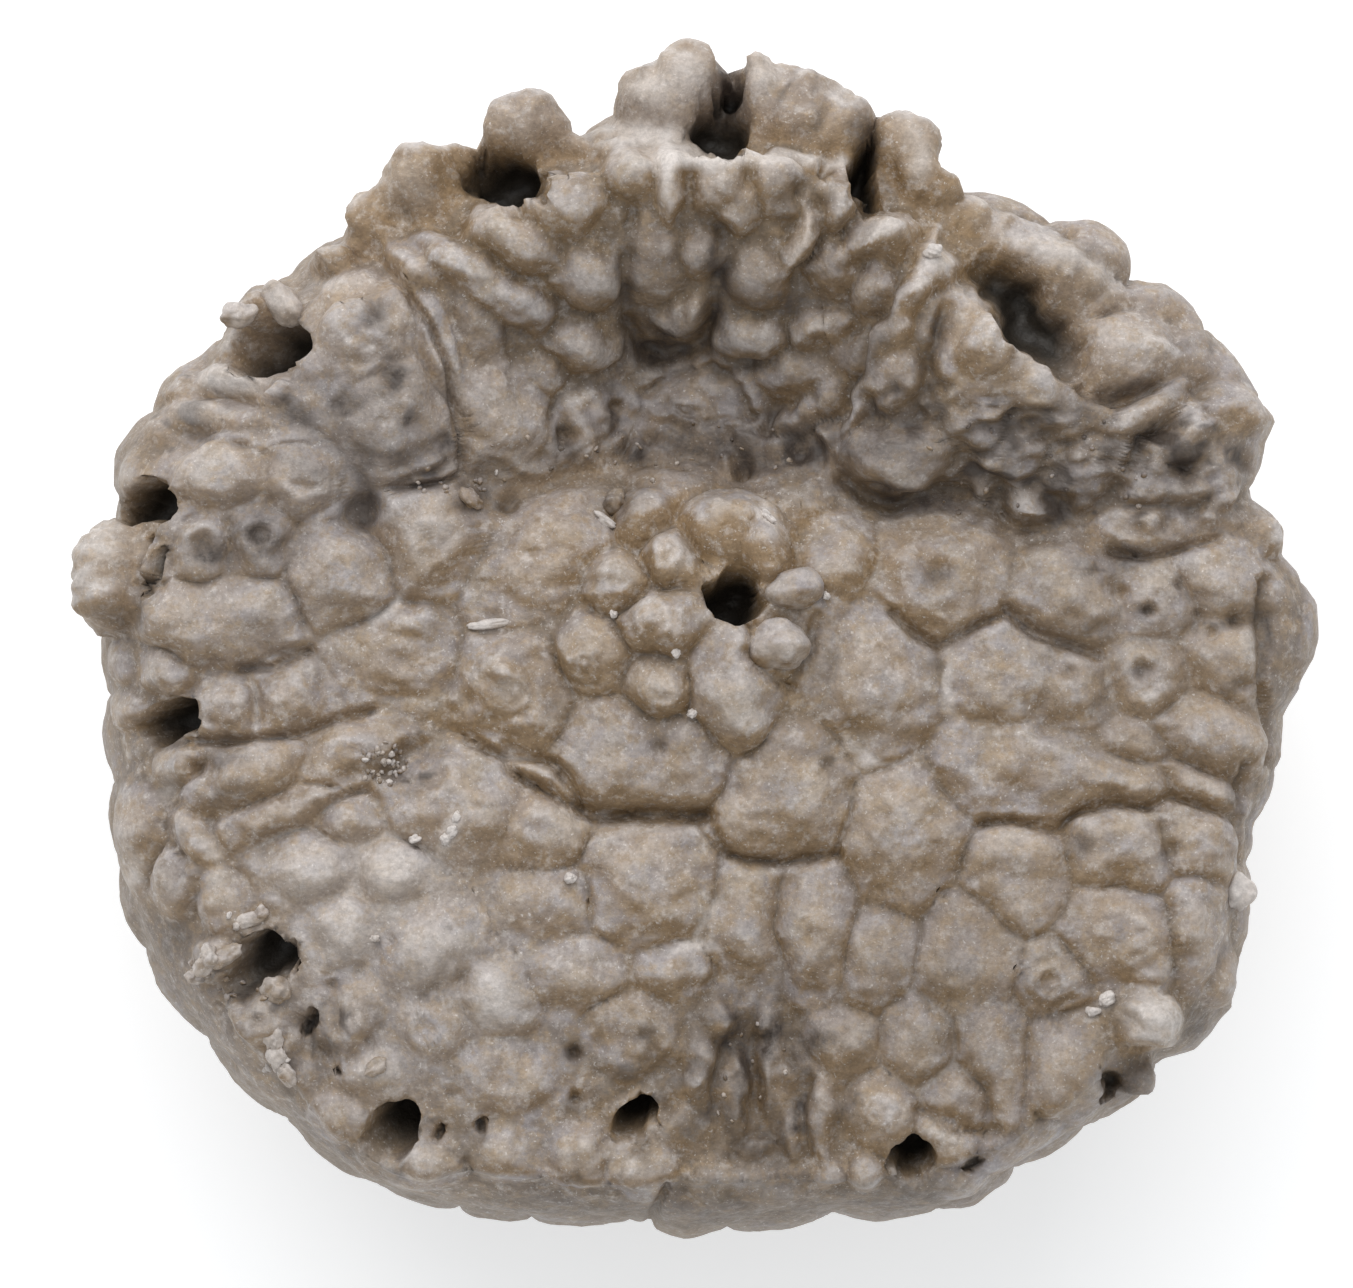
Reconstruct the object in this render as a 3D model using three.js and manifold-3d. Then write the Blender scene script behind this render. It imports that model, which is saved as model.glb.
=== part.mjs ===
// Fossil crinoid calyx: the stony body of a sea lily, without its arms and stem.
// One solid of calcite. Its domed upper face, the tegmen, is paved with swollen plates round a small anal
// opening. A ring of arm stubs and arm openings runs round the margin, and below it a bowl of smooth plates
// curves in to the stem.
// Millimetres, +Z up. The origin is under the middle, on the surface that the calyx stands on.
import * as THREE from "three";
import { mergeVertices } from "three/addons/utils/BufferGeometryUtils.js";
import Module from "manifold-3d";

const wasm = await Module();
wasm.setup();

// Driving dimensions
const RIM_HEIGHT = 22; // general level of the tegmen
const WIDEST_LEVEL = 15.5; // height at which the bowl is widest, on its leaning side
const WIDEST_RISE = 3; // how much higher that is on the opposite side
const LEAN = 235; // direction in which the bowl leans out from under the tegmen, degrees from +X
const DETAIL = 19; // subdivisions of the starting icosahedron
const TEGMEN_REACH = 102; // degrees of the starting sphere that become the tegmen
const SHOULDER_REACH = 16; // further degrees that become the shoulder outside the margin
const RELIEF_AT_OUTLINE = 0.5; // share of a plate's height that is left where it faces sideways
const STEM_RADIUS = 3.2; // round facet where the stem was attached
const LUMEN_RADIUS = 0.8; // canal in the middle of that facet

// Outline from above, anticlockwise from the right
const OUTLINE = [
  [24.6, 0.2], [24.3, 1.8], [23.5, 3.0], [23.1, 4.4], [22.3, 5.2], [22.4, 7.4], [23.2, 8.8], [20.9, 11.4],
  [19.2, 13.6], [17.8, 14.0], [17.0, 15.4], [16.0, 16.1], [12.9, 17.1], [10.8, 17.8], [9.9, 18.8],
  [9.8, 20.3], [7.6, 20.5], [6.6, 21.5], [3.8, 22.5], [2.6, 22.9], [1.8, 22.5], [1.1, 23.0], [0.2, 23.5],
  [-0.6, 23.2], [-1.6, 22.5], [-2.6, 21.6], [-3.0, 20.5], [-4.2, 19.9], [-5.0, 21.1], [-6.2, 21.5],
  [-7.5, 21.3], [-8.4, 19.8], [-10.2, 19.7], [-11.4, 19.0], [-12.9, 17.2], [-13.3, 15.8], [-14.3, 15.8],
  [-16.2, 14.6], [-17.6, 13.4], [-18.5, 12.0], [-19.6, 11.2], [-20.7, 10.1], [-22.5, 7.6], [-22.7, 5.8],
  [-24.0, 4.3], [-24.5, 3.0], [-24.0, 1.1], [-23.1, -0.2], [-23.1, -2.8], [-22.8, -5.0], [-22.6, -8.5],
  [-22.1, -11.0], [-20.8, -13.5], [-19.5, -15.0], [-17.3, -17.7], [-14.3, -20.1], [-12.5, -21.5],
  [-10.2, -22.3], [-8.0, -22.8], [-4.5, -23.1], [-1.6, -23.1], [0.0, -23.6], [2.5, -23.4], [6.0, -22.8],
  [9.9, -22.8], [11.4, -22.3], [13.5, -20.7], [16.1, -19.3], [18.3, -17.6], [18.6, -16.5], [19.9, -16.5],
  [21.6, -14.5], [21.7, -12.2], [22.3, -10.2], [22.4, -7.3], [22.8, -5.7], [23.4, -4.2], [23.4, -2.8],
  [24.3, -1.6],
];

// Radius of the tegmen's margin, every 10 degrees from +X towards +Y
const MARGIN = [
  22.2, 21.5, 21.6, 18.9, 17.4, 17.2, 18.0, 18.5, 19.0, 18.9, 18.9, 18.2,
  18.5, 18.1, 19.2, 19.0, 21.0, 21.6, 21.4, 20.3, 21.2, 21.9, 23.5, 23.7,
  24.2, 22.6, 22.0, 21.5, 21.7, 22.7, 23.6, 23.9, 23.8, 23.7, 22.7, 22.4,
];

// The bowl below its widest level: share of the outline's radius, and height
const BOWL = [
  [1.0, 15.5], [0.985, 12.9], [0.95, 10.0], [0.88, 7.2], [0.77, 4.9], [0.64, 3.0],
  [0.51, 1.6], [0.4, 1.0], [0.29, 1.4], [0.2, 2.2], [0.14, 2.5], [0.07, 2.5], [0.0, 2.5],
];
const BASE_RADIUS = 23; // what those shares apply to low down, where the outline's lobes have faded

// Broad swells (+) and hollows (-) of the tegmen: x, y, reach along x, reach along y, height
const SWELLS = [
  [1.5, 0.5, 6, 5, 1.8], [0, 8.7, 6.5, 3.2, -3.2], [9, 4.9, 4, 1.4, -1.2], [-6, 6.3, 3, 1.2, -0.8],
  [1, 19, 10, 4.5, 2.6], [-7, 15.5, 5, 3, 0.8], [-0.8, 12, 2, 2, -1.2], [11, 10.5, 5, 3.6, 1.6],
  [8.8, 13.5, 1.6, 4, 0.8], [-12.5, 10.5, 4, 4, 1.3], [-17.5, 4.5, 5, 4, 0.8], [-11, -12, 8, 6, 1.3],
  [-15, -5.5, 5, 2.5, 0.3], [13, -11, 8, 6, 0.5], [3, -17, 2, 4, -1.1], [21, -1, 5, 8, -0.8],
  [15, 5, 5, 1.6, -0.6], [-12.9, 4.6, 1, 0.9, -1.0],
];

// Plates of the tegmen and stubs of its margin: x, y, half length, half width, turn, height, dimple
const PLATES = [
  // ring round the anal opening
  [-0.5, 3.0, 1.2, 1.2, 0, 1.3, 0], [-1.6, 4.6, 1.2, 1.1, 0, 0.9, 0], [1.7, 4.4, 1.8, 1.3, 0, 1.3, 0],
  [4.1, 1.8, 1.3, 1.0, 0, 1.2, 0], [3.6, -0.2, 1.3, 1.2, 0, 1.7, 0], [5.5, -0.4, 0.8, 2.1, 0, 0.1, 0],
  [1.9, -2.2, 1.5, 2.4, 15, 1.3, 0], [-1.1, 0.7, 1.6, 1.4, 0, 1.3, 0], [-2.8, 2.2, 1.2, 1.2, 0, 0.7, 0],
  [-0.9, -1.9, 1.35, 1.15, 0, 0.9, 0], [-3.9, -0.8, 1.3, 1.5, 0, 0.8, 0],
  [-0.5, 6.2, 1.6, 0.7, 0, 0.5, 0], [-3.0, -4.7, 2.0, 2.0, 0, 0.9, 0], [0.0, -5.0, 1.6, 1.8, 0, 0.8, 0.3],
  [4.6, 5.3, 1.2, 0.9, 0, 0.2, 0],
  // plates outside that ring
  [-7.1, -2.1, 2.2, 2.1, 0, 1.3, 0], [-5.8, 3.2, 3.1, 1.6, 38, 0.9, 0.3],
  [-10.2, 4.0, 2.0, 2.1, 0, 1.1, 0], [6.3, 3.3, 1.3, 1.4, 0, 0.5, 0], [9.9, 2.6, 2.3, 2.3, 0, 1.3, 0.6],
  [7.6, -2.0, 2.0, 2.8, 0, 1.1, 0], [3.8, -6.3, 2.7, 2.4, 20, 1.1, 0], [8.6, -8.0, 2.2, 2.7, 0, 1.2, 0],
  // right
  [12.6, -1.6, 2.0, 1.8, 0, 1.0, 0.2], [15.4, -2.1, 1.5, 1.5, -20, 0.7, 0],
  [13.0, -5.2, 2.4, 1.9, 0, 0.9, 0], [16.8, -5.4, 2.5, 1.0, -8, 0.9, 0], [15.2, 1.6, 2.1, 1.6, 0, 1.2, 0],
  [18.6, 1.5, 1.4, 1.3, 0, 1.0, 0.2], [21.4, 2.2, 1.8, 0.9, 0, 0.8, 0],
  [18.3, -1.5, 1.4, 1.4, 0, 1.1, 0.4], [21.4, -1.0, 1.4, 1.5, 0, 1.1, 0.3],
  [20.9, -4.0, 2.1, 1.3, -15, 1.2, 0], [18.0, -4.1, 1.2, 0.8, -20, 0.5, 0],
  [20.4, -6.0, 1.9, 0.7, -25, 0.9, 0], [13.2, -9.2, 2.1, 2.1, 0, 1.1, 0],
  [17.2, -8.4, 2.1, 1.7, 0, 1.1, 0.2], [20.4, -8.1, 1.6, 1.5, 0, 0.9, 0],
  [17.2, -11.9, 2.2, 1.9, -10, 1.1, 0.2], [20.3, -11.4, 1.2, 2.3, 8, 0.9, 0],
  [21.6, -13.6, 0.8, 1.2, 0, 0.7, 0], [14.4, -13.5, 1.5, 1.5, 0, 0.9, 0.2],
  [11.2, -12.5, 1.9, 2.3, 0, 1.0, 0], [12.2, -16.7, 1.2, 2.8, 12, 0.7, 0],
  [15.1, -17.2, 1.7, 2.1, -8, 1.0, 0], [18.4, -15.3, 1.5, 1.4, 0, 2.0, 0],
  [7.6, -12.8, 1.4, 1.9, 0, 1.0, 0], [9.2, -16.0, 1.4, 1.7, 0, 1.0, 0.2],
  [11.0, -18.4, 1.4, 1.2, 0, 0.8, 0], [6.3, -16.3, 1.5, 1.5, 0, 0.9, 0],
  [7.8, -18.6, 1.3, 1.4, 0, 1.0, 0.2], [10.4, -20.0, 1.4, 0.8, -35, 0.7, 0],
  [2.4, -11.7, 1.3, 2.8, 0, 0.9, 0], [5.1, -11.5, 1.5, 2.7, 0, 1.0, 0], [3.5, -16.7, 0.7, 2.5, 0, 0.4, 0],
  [1.9, -18.2, 0.7, 1.6, 0, 0.4, 0], [0.5, -17.3, 0.6, 1.6, 0, 0.4, 0], [7.0, -21.0, 0.7, 0.7, 0, 0.8, 0],
  [5.6, -21.3, 0.7, 0.7, 0, 0.5, 0], [11.1, -21.7, 0.9, 0.8, 0, 0.6, 0],
  [13.5, -20.2, 1.5, 0.7, 15, 0.4, 0], [5.2, -19.0, 0.7, 1.7, 0, 0.4, 0],
  [2.3, -21.6, 2.4, 0.9, 0, 0.4, 0], [17.8, -18.2, 0.9, 0.9, 0, 0.5, 0],
  // lower left
  [-9.0, -6.7, 2.6, 2.1, 0, 1.2, 0], [-5.6, -7.9, 1.9, 1.4, 0, 0.7, 0], [-1.7, -9.6, 2.7, 2.2, 0, 1.1, 0],
  [-5.6, -10.6, 2.0, 1.6, 0, 0.8, 0], [-15.0, -9.2, 2.0, 1.4, 0, 1.1, 0],
  [-11.6, -9.3, 1.8, 1.4, 0, 1.0, 0], [-13.7, -11.7, 1.5, 1.5, 0, 1.1, 0],
  [-10.2, -12.3, 2.0, 1.7, 0, 0.9, 0], [-7.4, -14.4, 1.7, 1.6, 0, 0.9, 0],
  [-10.2, -15.6, 1.6, 1.4, 0, 0.8, 0.1], [-4.3, -13.4, 1.7, 1.7, 0, 0.8, 0],
  [-0.4, -13.2, 1.3, 0.9, 0, 0.9, 0], [-2.3, -15.4, 1.5, 1.2, 0, 0.5, 0],
  [-7.2, -17.6, 2.2, 1.5, 0, 0.6, 0], [-4.2, -20.6, 1.2, 1.1, 0, 1.0, 0],
  [-1.8, -21.0, 1.2, 0.9, 0, 0.9, 0], [-7.3, -20.5, 1.5, 1.0, 0, 0.6, 0],
  [-10.4, -21.0, 1.5, 1.0, 0, 0.7, 0], [-13.9, -19.2, 1.0, 0.9, 0, 0.7, 0],
  [-16.8, -15.0, 0.9, 0.9, 0, 0.7, 0], [-12.4, -17.2, 1.1, 0.9, 0, 0.5, 0],
  [-13.4, -14.6, 1.5, 1.3, 0, 0.5, 0], [-18.7, -12.9, 0.9, 0.7, 30, 0.9, 0],
  [0.0, -19.6, 1.0, 1.0, 0, 0.3, 0],
  // left
  [-20.0, 1.0, 1.8, 1.3, 0, 1.1, 0], [-17.2, 0.9, 1.8, 1.5, 0, 1.0, 0], [-13.6, 2.3, 1.9, 1.9, 0, 1.0, 0],
  [-19.3, 3.7, 1.3, 1.4, 0, 1.0, 0.3], [-16.9, 4.1, 1.4, 1.4, 0, 1.0, 0.4],
  [-18.8, 6.7, 1.9, 1.3, 0, 1.0, 0], [-15.6, 6.6, 1.6, 1.3, 0, 1.0, 0.1],
  [-21.2, 2.9, 0.7, 0.9, 0, 0.5, 0], [-23.2, 2.6, 1.6, 2.0, 0, 2.1, 0],
  [-18.2, -2.7, 1.2, 1.0, 0, 0.8, 0.1], [-15.6, -2.3, 1.6, 1.5, 0, 0.9, 0],
  [-20.8, -1.1, 1.1, 0.6, -35, 0.6, 0], [-22.8, -0.9, 0.9, 0.9, 0, 0.6, 0],
  [-22.3, -2.9, 0.9, 0.6, 0, 0.6, 0], [-17.2, -5.2, 2.4, 1.0, 22, 1.1, 0],
  [-20.3, -5.2, 1.0, 0.6, 15, 0.7, 0], [-16.0, -7.0, 2.4, 0.8, 22, 0.9, 0],
  [-13.2, -7.3, 1.4, 0.9, 0, 0.6, 0], [-13.1, -4.3, 1.8, 1.3, 20, 0.7, 0],
  [-11.6, -0.6, 2.2, 1.9, 0, 0.8, 0], [-19.7, -7.9, 1.3, 0.7, -35, 0.5, 0],
  [-18.3, -10.4, 1.0, 1.0, 0, 0.5, 0], [-20.3, -9.7, 1.0, 1.3, 0, 1.0, 0],
  [-22.1, -8.0, 1.0, 1.8, 0, 0.8, 0],
  // upper left
  [-12.9, 12.2, 2.1, 2.0, 0, 1.2, 0.2], [-11.6, 8.7, 2.3, 1.6, 0, 1.1, 0.3],
  [-10.2, 11.4, 0.6, 2.3, 18, 0.6, 0], [-10.8, 14.7, 1.1, 0.7, -40, 0.8, 0],
  [-7.6, 9.0, 1.2, 2.0, 10, 1.0, 0], [-5.3, 7.6, 1.1, 1.0, 0, 0.4, 0],
  [-17.5, 10.1, 1.6, 0.6, -10, 1.0, 0], [-20.0, 10.4, 1.1, 0.9, 0, 0.7, 0],
  [-19.0, 8.9, 1.5, 0.6, 0, 0.6, 0], [-15.9, 13.4, 1.4, 0.7, -50, 1.3, 0],
  [-17.5, 13.6, 0.7, 0.6, 0, 1.0, 0], [-14.2, 15.5, 0.8, 0.7, 0, 0.9, 0],
  [-10.6, 18.3, 1.6, 1.8, 0, 1.6, 0], [-12.5, 16.6, 1.2, 1.0, 0, 1.0, 0],
  [-6.6, 20.3, 1.7, 1.5, 0, 1.9, 0], [-3.9, 19.7, 0.7, 0.7, 0, 0.6, 0], [-1.6, 21.3, 1.3, 1.3, 0, 1.7, 0],
  [0.3, 22.0, 1.5, 1.5, 0, 2.1, 0], [4.6, 21.0, 2.4, 1.6, -15, 1.6, 0], [9.0, 19.6, 1.3, 1.3, 0, 1.6, 0],
  [9.8, 17.9, 1.1, 1.0, 0, 1.2, 0],
  // inner slope at the top
  [-4.6, 17.2, 1.6, 1.2, 15, 1.0, 0], [-8.0, 16.7, 1.0, 0.6, 20, 0.8, 0],
  [-6.3, 15.6, 1.4, 1.0, 0, 0.9, 0], [-3.8, 14.3, 1.2, 1.2, 0, 1.1, 0],
  [-6.9, 13.5, 1.4, 0.9, -20, 1.0, 0], [-4.2, 11.8, 1.4, 0.9, 0, 1.0, 0],
  [-2.2, 18.4, 1.0, 0.9, 0, 0.8, 0], [-0.7, 17.6, 0.6, 1.6, 0, 0.9, 0], [1.6, 17.3, 1.4, 1.3, 0, 1.0, 0],
  [-1.4, 15.0, 1.2, 1.5, 0, 0.7, 0], [0.7, 15.2, 0.8, 0.9, 0, 0.8, 0], [-0.2, 13.0, 1.1, 0.8, 20, 1.2, 0],
  [2.9, 14.6, 1.3, 1.2, 0, 1.0, 0], [4.4, 15.7, 0.5, 1.9, -22, 1.1, 0], [3.6, 17.8, 1.0, 1.0, 0, 0.8, 0],
  [2.5, 12.1, 1.6, 0.8, 0, 1.2, 0], [5.4, 12.5, 1.1, 0.9, 0, 1.1, 0], [5.8, 14.8, 0.9, 1.3, 0, 0.9, 0],
  [6.0, 17.5, 0.8, 1.3, 0, 1.0, 0], [7.7, 15.9, 1.4, 0.9, 10, 1.2, 0], [7.4, 13.9, 0.9, 1.0, 0, 0.9, 0],
  [4.5, 10.6, 1.6, 1.0, 15, 0.8, 0], [0.3, 9.0, 1.9, 1.4, 0, 1.0, 0.3], [-2.4, 9.3, 0.6, 1.0, 0, 0.5, 0],
  [-4.0, 9.5, 1.1, 0.9, 0, 0.6, 0],
  // upper right
  [8.8, 13.2, 3.6, 0.6, 66, 1.2, 0], [9.9, 14.4, 0.8, 0.8, 0, 0.8, 0], [8.3, 10.2, 0.9, 1.1, 0, 0.7, 0],
  [11.8, 11.2, 1.9, 1.9, 0, 1.4, 0], [14.1, 10.1, 1.6, 1.0, -35, 1.2, 0],
  [11.4, 8.4, 1.2, 0.9, 0, 0.8, 0], [8.3, 7.3, 2.1, 1.2, 0, 1.5, 0], [13.0, 7.2, 1.2, 1.0, 0, 0.6, 0],
  [18.5, 9.2, 1.4, 0.7, 38, 1.0, 0], [17.8, 11.7, 1.6, 1.2, 0, 1.1, 0],
  [15.2, 14.6, 3.0, 1.0, -35, 1.3, 0], [12.0, 17.0, 1.0, 0.8, 0, 0.7, 0],
  [16.5, 15.3, 1.1, 1.1, 0, 0.8, 0], [18.9, 13.5, 1.2, 0.8, -20, 0.8, 0],
  [20.4, 11.6, 1.3, 1.0, -50, 0.7, 0], [22.2, 9.1, 1.4, 0.8, -30, 0.9, 0],
  [20.2, 8.2, 1.2, 1.1, 0, 0.8, 0], [18.5, 6.1, 1.3, 0.9, 0, 0.7, 0], [18.4, 4.4, 1.7, 0.8, 0, 0.9, 0],
  [22.7, 4.0, 0.9, 0.9, 0, 1.3, 0], [23.7, 1.7, 1.0, 0.8, 0, 1.5, 0], [23.8, 0.3, 1.0, 0.6, 10, 1.5, 0],
  [23.6, -1.3, 1.0, 0.8, 0, 1.5, 0], [23.2, -4.3, 0.6, 0.9, 0, 0.7, 0],
  [13.7, 5.3, 1.0, 0.7, -15, 0.7, 0], [15.9, 6.2, 1.1, 0.9, 0, 0.5, 0], [21.3, 6.1, 1.1, 1.0, 0, 0.6, 0],
];

// Rings of plates on the bowl: how many, place from 0 at its widest to 1 at the stem, radius, height
const BOWL_RINGS = [
  [40, 0.02, 1.9, 0.8], [38, 0.11, 2.0, 0.8], [30, 0.2, 2.2, 0.9], [20, 0.295, 2.7, 1.1],
  [10, 0.395, 3.4, 1.3], [10, 0.48, 2.6, 1.2], [5, 0.575, 3.6, 1.6],
];

// Deep grooves between plates: width, depth, then the points they run through
const FURROWS = [
  [0.7, 0.9, [-9.3, -4.1], [-7.5, -4.6], [-5, -5], [-4.2, -6.6], [-0.5, -7], [0.9, -7], [1.6, -8.7],
  [5.8, -8.7]],
  [0.7, 0.9, [-11.2, 13.9], [-10.2, 12.5], [-9.4, 10.5], [-8.7, 8], [-8.6, 6.6], [-11.5, 5.8]],
  [0.6, 0.7, [-20, -4.1], [-16, -4.1], [-14, -3.3], [-12.5, -2.9]],
  [0.6, 0.7, [-17.7, -1.2], [-16.5, -1.2], [-15, -0.5]],
  [0.6, 0.7, [11.8, -7.3], [14.7, -7.6], [15.6, -7], [18.3, -6.8], [22, -7.2]],
  [0.7, 0.8, [8.3, 1], [9, 0.2], [11, 0.1], [12.6, 1], [14, 0.2], [16.3, -0.7]],
  [0.8, 1.2, [5.6, 5.7], [7, 5.5], [8.6, 5.4], [10.6, 6.2], [12.4, 5.2]],
];

// Arm openings and the anal opening: x, y, half length, half width, turn, depth, tilt outwards in degrees
const OPENINGS = [
  [1.9, 1.7, 1.2, 1.15, 0, 7, 0], [-16.7, 11.6, 1.5, 0.8, 0, 6, 20], [-21.6, 5.3, 1.1, 0.75, 15, 5, 25],
  [-20.4, -3.3, 1.1, 0.75, 25, 5, 25], [-17.2, -13.0, 1.5, 0.9, 30, 5, 20],
  [-11.6, -19.4, 0.85, 1.3, -30, 6, 20], [-1.9, -18.9, 0.85, 1.2, -35, 6, 10],
  [8.8, -20.9, 1.0, 1.1, 0, 6, 25], [17.4, -18.0, 0.9, 0.6, 30, 4, 25],
  [13.5, 13.2, 3.3, 0.8, -37, 5, 15], [7.3, 18.0, 0.55, 1.6, -10, 5, 10], [1.4, 20.2, 1.1, 1.1, 0, 5, 15],
  [-7.0, 18.1, 1.4, 0.9, 0, 5, 15],
];

const radians = THREE.MathUtils.degToRad;
const clamp = THREE.MathUtils.clamp;
const smooth = (from, to, x) => THREE.MathUtils.smoothstep(x, from, to);

// A smooth closed curve through equally spaced values, read at an angle
function around(values, angle) {
  const place = ((angle / (2 * Math.PI)) * values.length + values.length) % values.length;
  const i = Math.floor(place);
  const at = (k) => values[(i + k + values.length) % values.length];
  return cubic(at(-1), at(0), at(1), at(2), place - i);
}

// Catmull-Rom between b and c
function cubic(a, b, c, d, t) {
  return b + 0.5 * t * (c - a + t * (2 * a - 5 * b + 4 * c - d + t * (3 * (b - c) + d - a)));
}

// The outline's radius at an angle, between its two neighbouring points
const wholeTurn = (angle) => (angle + 2 * Math.PI) % (2 * Math.PI);
const corners = OUTLINE.map(([x, y]) => ({ angle: wholeTurn(Math.atan2(y, x)), radius: Math.hypot(x, y) }));
corners.sort((a, b) => a.angle - b.angle);
function outlineRadius(angle) {
  const turn = wholeTurn(angle);
  let k = corners.findIndex((corner) => corner.angle > turn);
  if (k < 0) k = 0;
  const before = corners[(k + corners.length - 1) % corners.length];
  const span = wholeTurn(corners[k].angle - before.angle);
  const past = wholeTurn(turn - before.angle);
  return THREE.MathUtils.lerp(before.radius, corners[k].radius, past / span);
}

// How high the bowl is widest, at an angle
const widestLevel = (angle) => WIDEST_LEVEL + (WIDEST_RISE / 2) * (1 - Math.cos(angle - radians(LEAN)));

// A point of the bowl, from share 0 at its widest to 1 at the middle of the stem facet
function bowlPoint(share, angle) {
  const place = clamp(share, 0, 1) * (BOWL.length - 1);
  const i = Math.min(Math.floor(place), BOWL.length - 2);
  const at = (k) => BOWL[clamp(i + k, 0, BOWL.length - 1)];
  const read = (c) => cubic(at(-1)[c], at(0)[c], at(1)[c], at(2)[c], place - i);
  const lobed = THREE.MathUtils.lerp(outlineRadius(angle), BASE_RADIUS, smooth(0, 0.35, share));
  const radius = Math.max(0, read(0)) * lobed;
  const height = read(1) + (widestLevel(angle) - WIDEST_LEVEL) * (1 - smooth(0, 0.5, share));
  return new THREE.Vector3(radius * Math.cos(angle), radius * Math.sin(angle), height);
}

// Height of the tegmen before its plates are raised
function swell(x, y) {
  let height = RIM_HEIGHT;
  for (const [cx, cy, rx, ry, rise] of SWELLS) {
    height += rise * Math.exp(-(((x - cx) / rx) ** 2) - ((y - cy) / ry) ** 2);
  }
  return height;
}

// The shoulder between the margin (share 0) and the bowl's widest level (share 1): a quarter of an ellipse
function shoulderHeight(share, x, y) {
  const low = widestLevel(Math.atan2(y, x));
  const top = swell(x, y) - 0.9 * smooth(0, 0.5, share);
  return low + (top - low) * Math.sqrt(Math.max(0, 1 - share * share));
}

// Height of the upper side at a place
function topHeight(x, y) {
  const angle = Math.atan2(y, x);
  const margin = around(MARGIN, angle);
  const share = (Math.hypot(x, y) - margin) / Math.max(0.3, outlineRadius(angle) - margin);
  return share <= 0 ? swell(x, y) : shoulderHeight(Math.min(share, 1), x, y);
}

// A direction of the starting sphere, carried to the unplated surface of the calyx
function surfacePoint(direction) {
  const down = THREE.MathUtils.radToDeg(Math.acos(clamp(direction.z, -1, 1)));
  const angle = Math.atan2(direction.y, direction.x);
  const past = down - TEGMEN_REACH;
  if (past > SHOULDER_REACH) {
    return bowlPoint((past - SHOULDER_REACH) / (180 - TEGMEN_REACH - SHOULDER_REACH), angle);
  }
  const margin = around(MARGIN, angle);
  const share = past <= 0 ? 0 : Math.sin((past / SHOULDER_REACH) * (Math.PI / 2));
  const inside = past <= 0 ? Math.sin(radians(down / 2)) / Math.sin(radians(TEGMEN_REACH / 2)) : 1;
  const radius = margin * inside + Math.max(0.3, outlineRadius(angle) - margin) * share;
  const x = radius * Math.cos(angle);
  const y = radius * Math.sin(angle);
  return new THREE.Vector3(x, y, past <= 0 ? swell(x, y) : shoulderHeight(share, x, y));
}

// Every plate as a centre, its two axes, a size and a height
function allPlates() {
  const plates = PLATES.map(([x, y, long, wide, turn, height, dimple]) => ({
    centre: new THREE.Vector3(x, y, topHeight(x, y)),
    long, wide, height, dimple,
    deep: 2.2 * Math.max(long, wide),
    cos: Math.cos(radians(turn)),
    sin: Math.sin(radians(turn)),
    size: Math.sqrt(long * wide),
  }));
  BOWL_RINGS.forEach(([count, share, radius, height], ring) => {
    for (let i = 0; i < count; i++) {
      // neighbouring rings are staggered, and each plate strays a little from its place
      const stray = 0.16 * Math.sin(7.3 * i + 2.9 * ring);
      const angle = ((i + 0.5 * (ring % 2) + stray) / count) * 2 * Math.PI;
      const centre = bowlPoint(share + 0.01 * Math.sin(4.7 * i + ring), angle);
      const grown = radius * (1 + 0.1 * Math.sin(5.1 * i + 1.7 * ring));
      const round = { long: grown, wide: grown, deep: grown, size: grown, cos: 1, sin: 0 };
      plates.push({ centre, height, dimple: 0, ...round });
    }
  });
  return plates;
}

// The plate that a point lies on, how far across it the point is (0 middle, 1 edge), and how far the seam is
function locate(point, plates) {
  let plate = null;
  let near = Infinity;
  let next = Infinity;
  let nextSize = 1;
  for (const candidate of plates) {
    const dx = point.x - candidate.centre.x;
    const dy = point.y - candidate.centre.y;
    const along = (dx * candidate.cos + dy * candidate.sin) / candidate.long;
    const across = (dy * candidate.cos - dx * candidate.sin) / candidate.wide;
    const distance = Math.hypot(along, across, (point.z - candidate.centre.z) / candidate.deep);
    if (distance < near) {
      next = near;
      nextSize = plate ? plate.size : 1;
      near = distance;
      plate = candidate;
    } else if (distance < next) {
      next = distance;
      nextSize = candidate.size;
    }
  }
  return { plate, near, seam: (next - near) / (1 / plate.size + 1 / nextSize) };
}

// How deep the furrows are at a point of the tegmen
function furrowDepth(x, y) {
  let deepest = 0;
  const foot = new THREE.Vector3();
  const here = new THREE.Vector3(x, y, 0);
  for (const [width, depth, ...stops] of FURROWS) {
    for (let i = 1; i < stops.length; i++) {
      const run = new THREE.Line3(new THREE.Vector3(...stops[i - 1], 0), new THREE.Vector3(...stops[i], 0));
      const away = run.closestPointToPoint(here, true, foot).distanceTo(here);
      deepest = Math.max(deepest, depth * Math.exp(-((away / width) ** 2)));
    }
  }
  return deepest;
}

// How far the stone stands out at a point: a cushion on each plate, falling to nothing at the seams
function relief(point, plates) {
  const { plate, near, seam } = locate(point, plates);
  const flank = clamp(0.4 * plate.size, 0.4, 1.3);
  const edge = 1 - (1 - clamp(seam / flank, 0, 1)) ** 2;
  const dome = Math.max(0, 1 - near * near);
  const dimple = plate.dimple * Math.exp(-((near / 0.35) ** 2));
  const furrow = point.z > WIDEST_LEVEL ? furrowDepth(point.x, point.y) : 0;
  return edge * (plate.height * (0.5 + 0.5 * dome) - dimple) - furrow;
}

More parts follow.
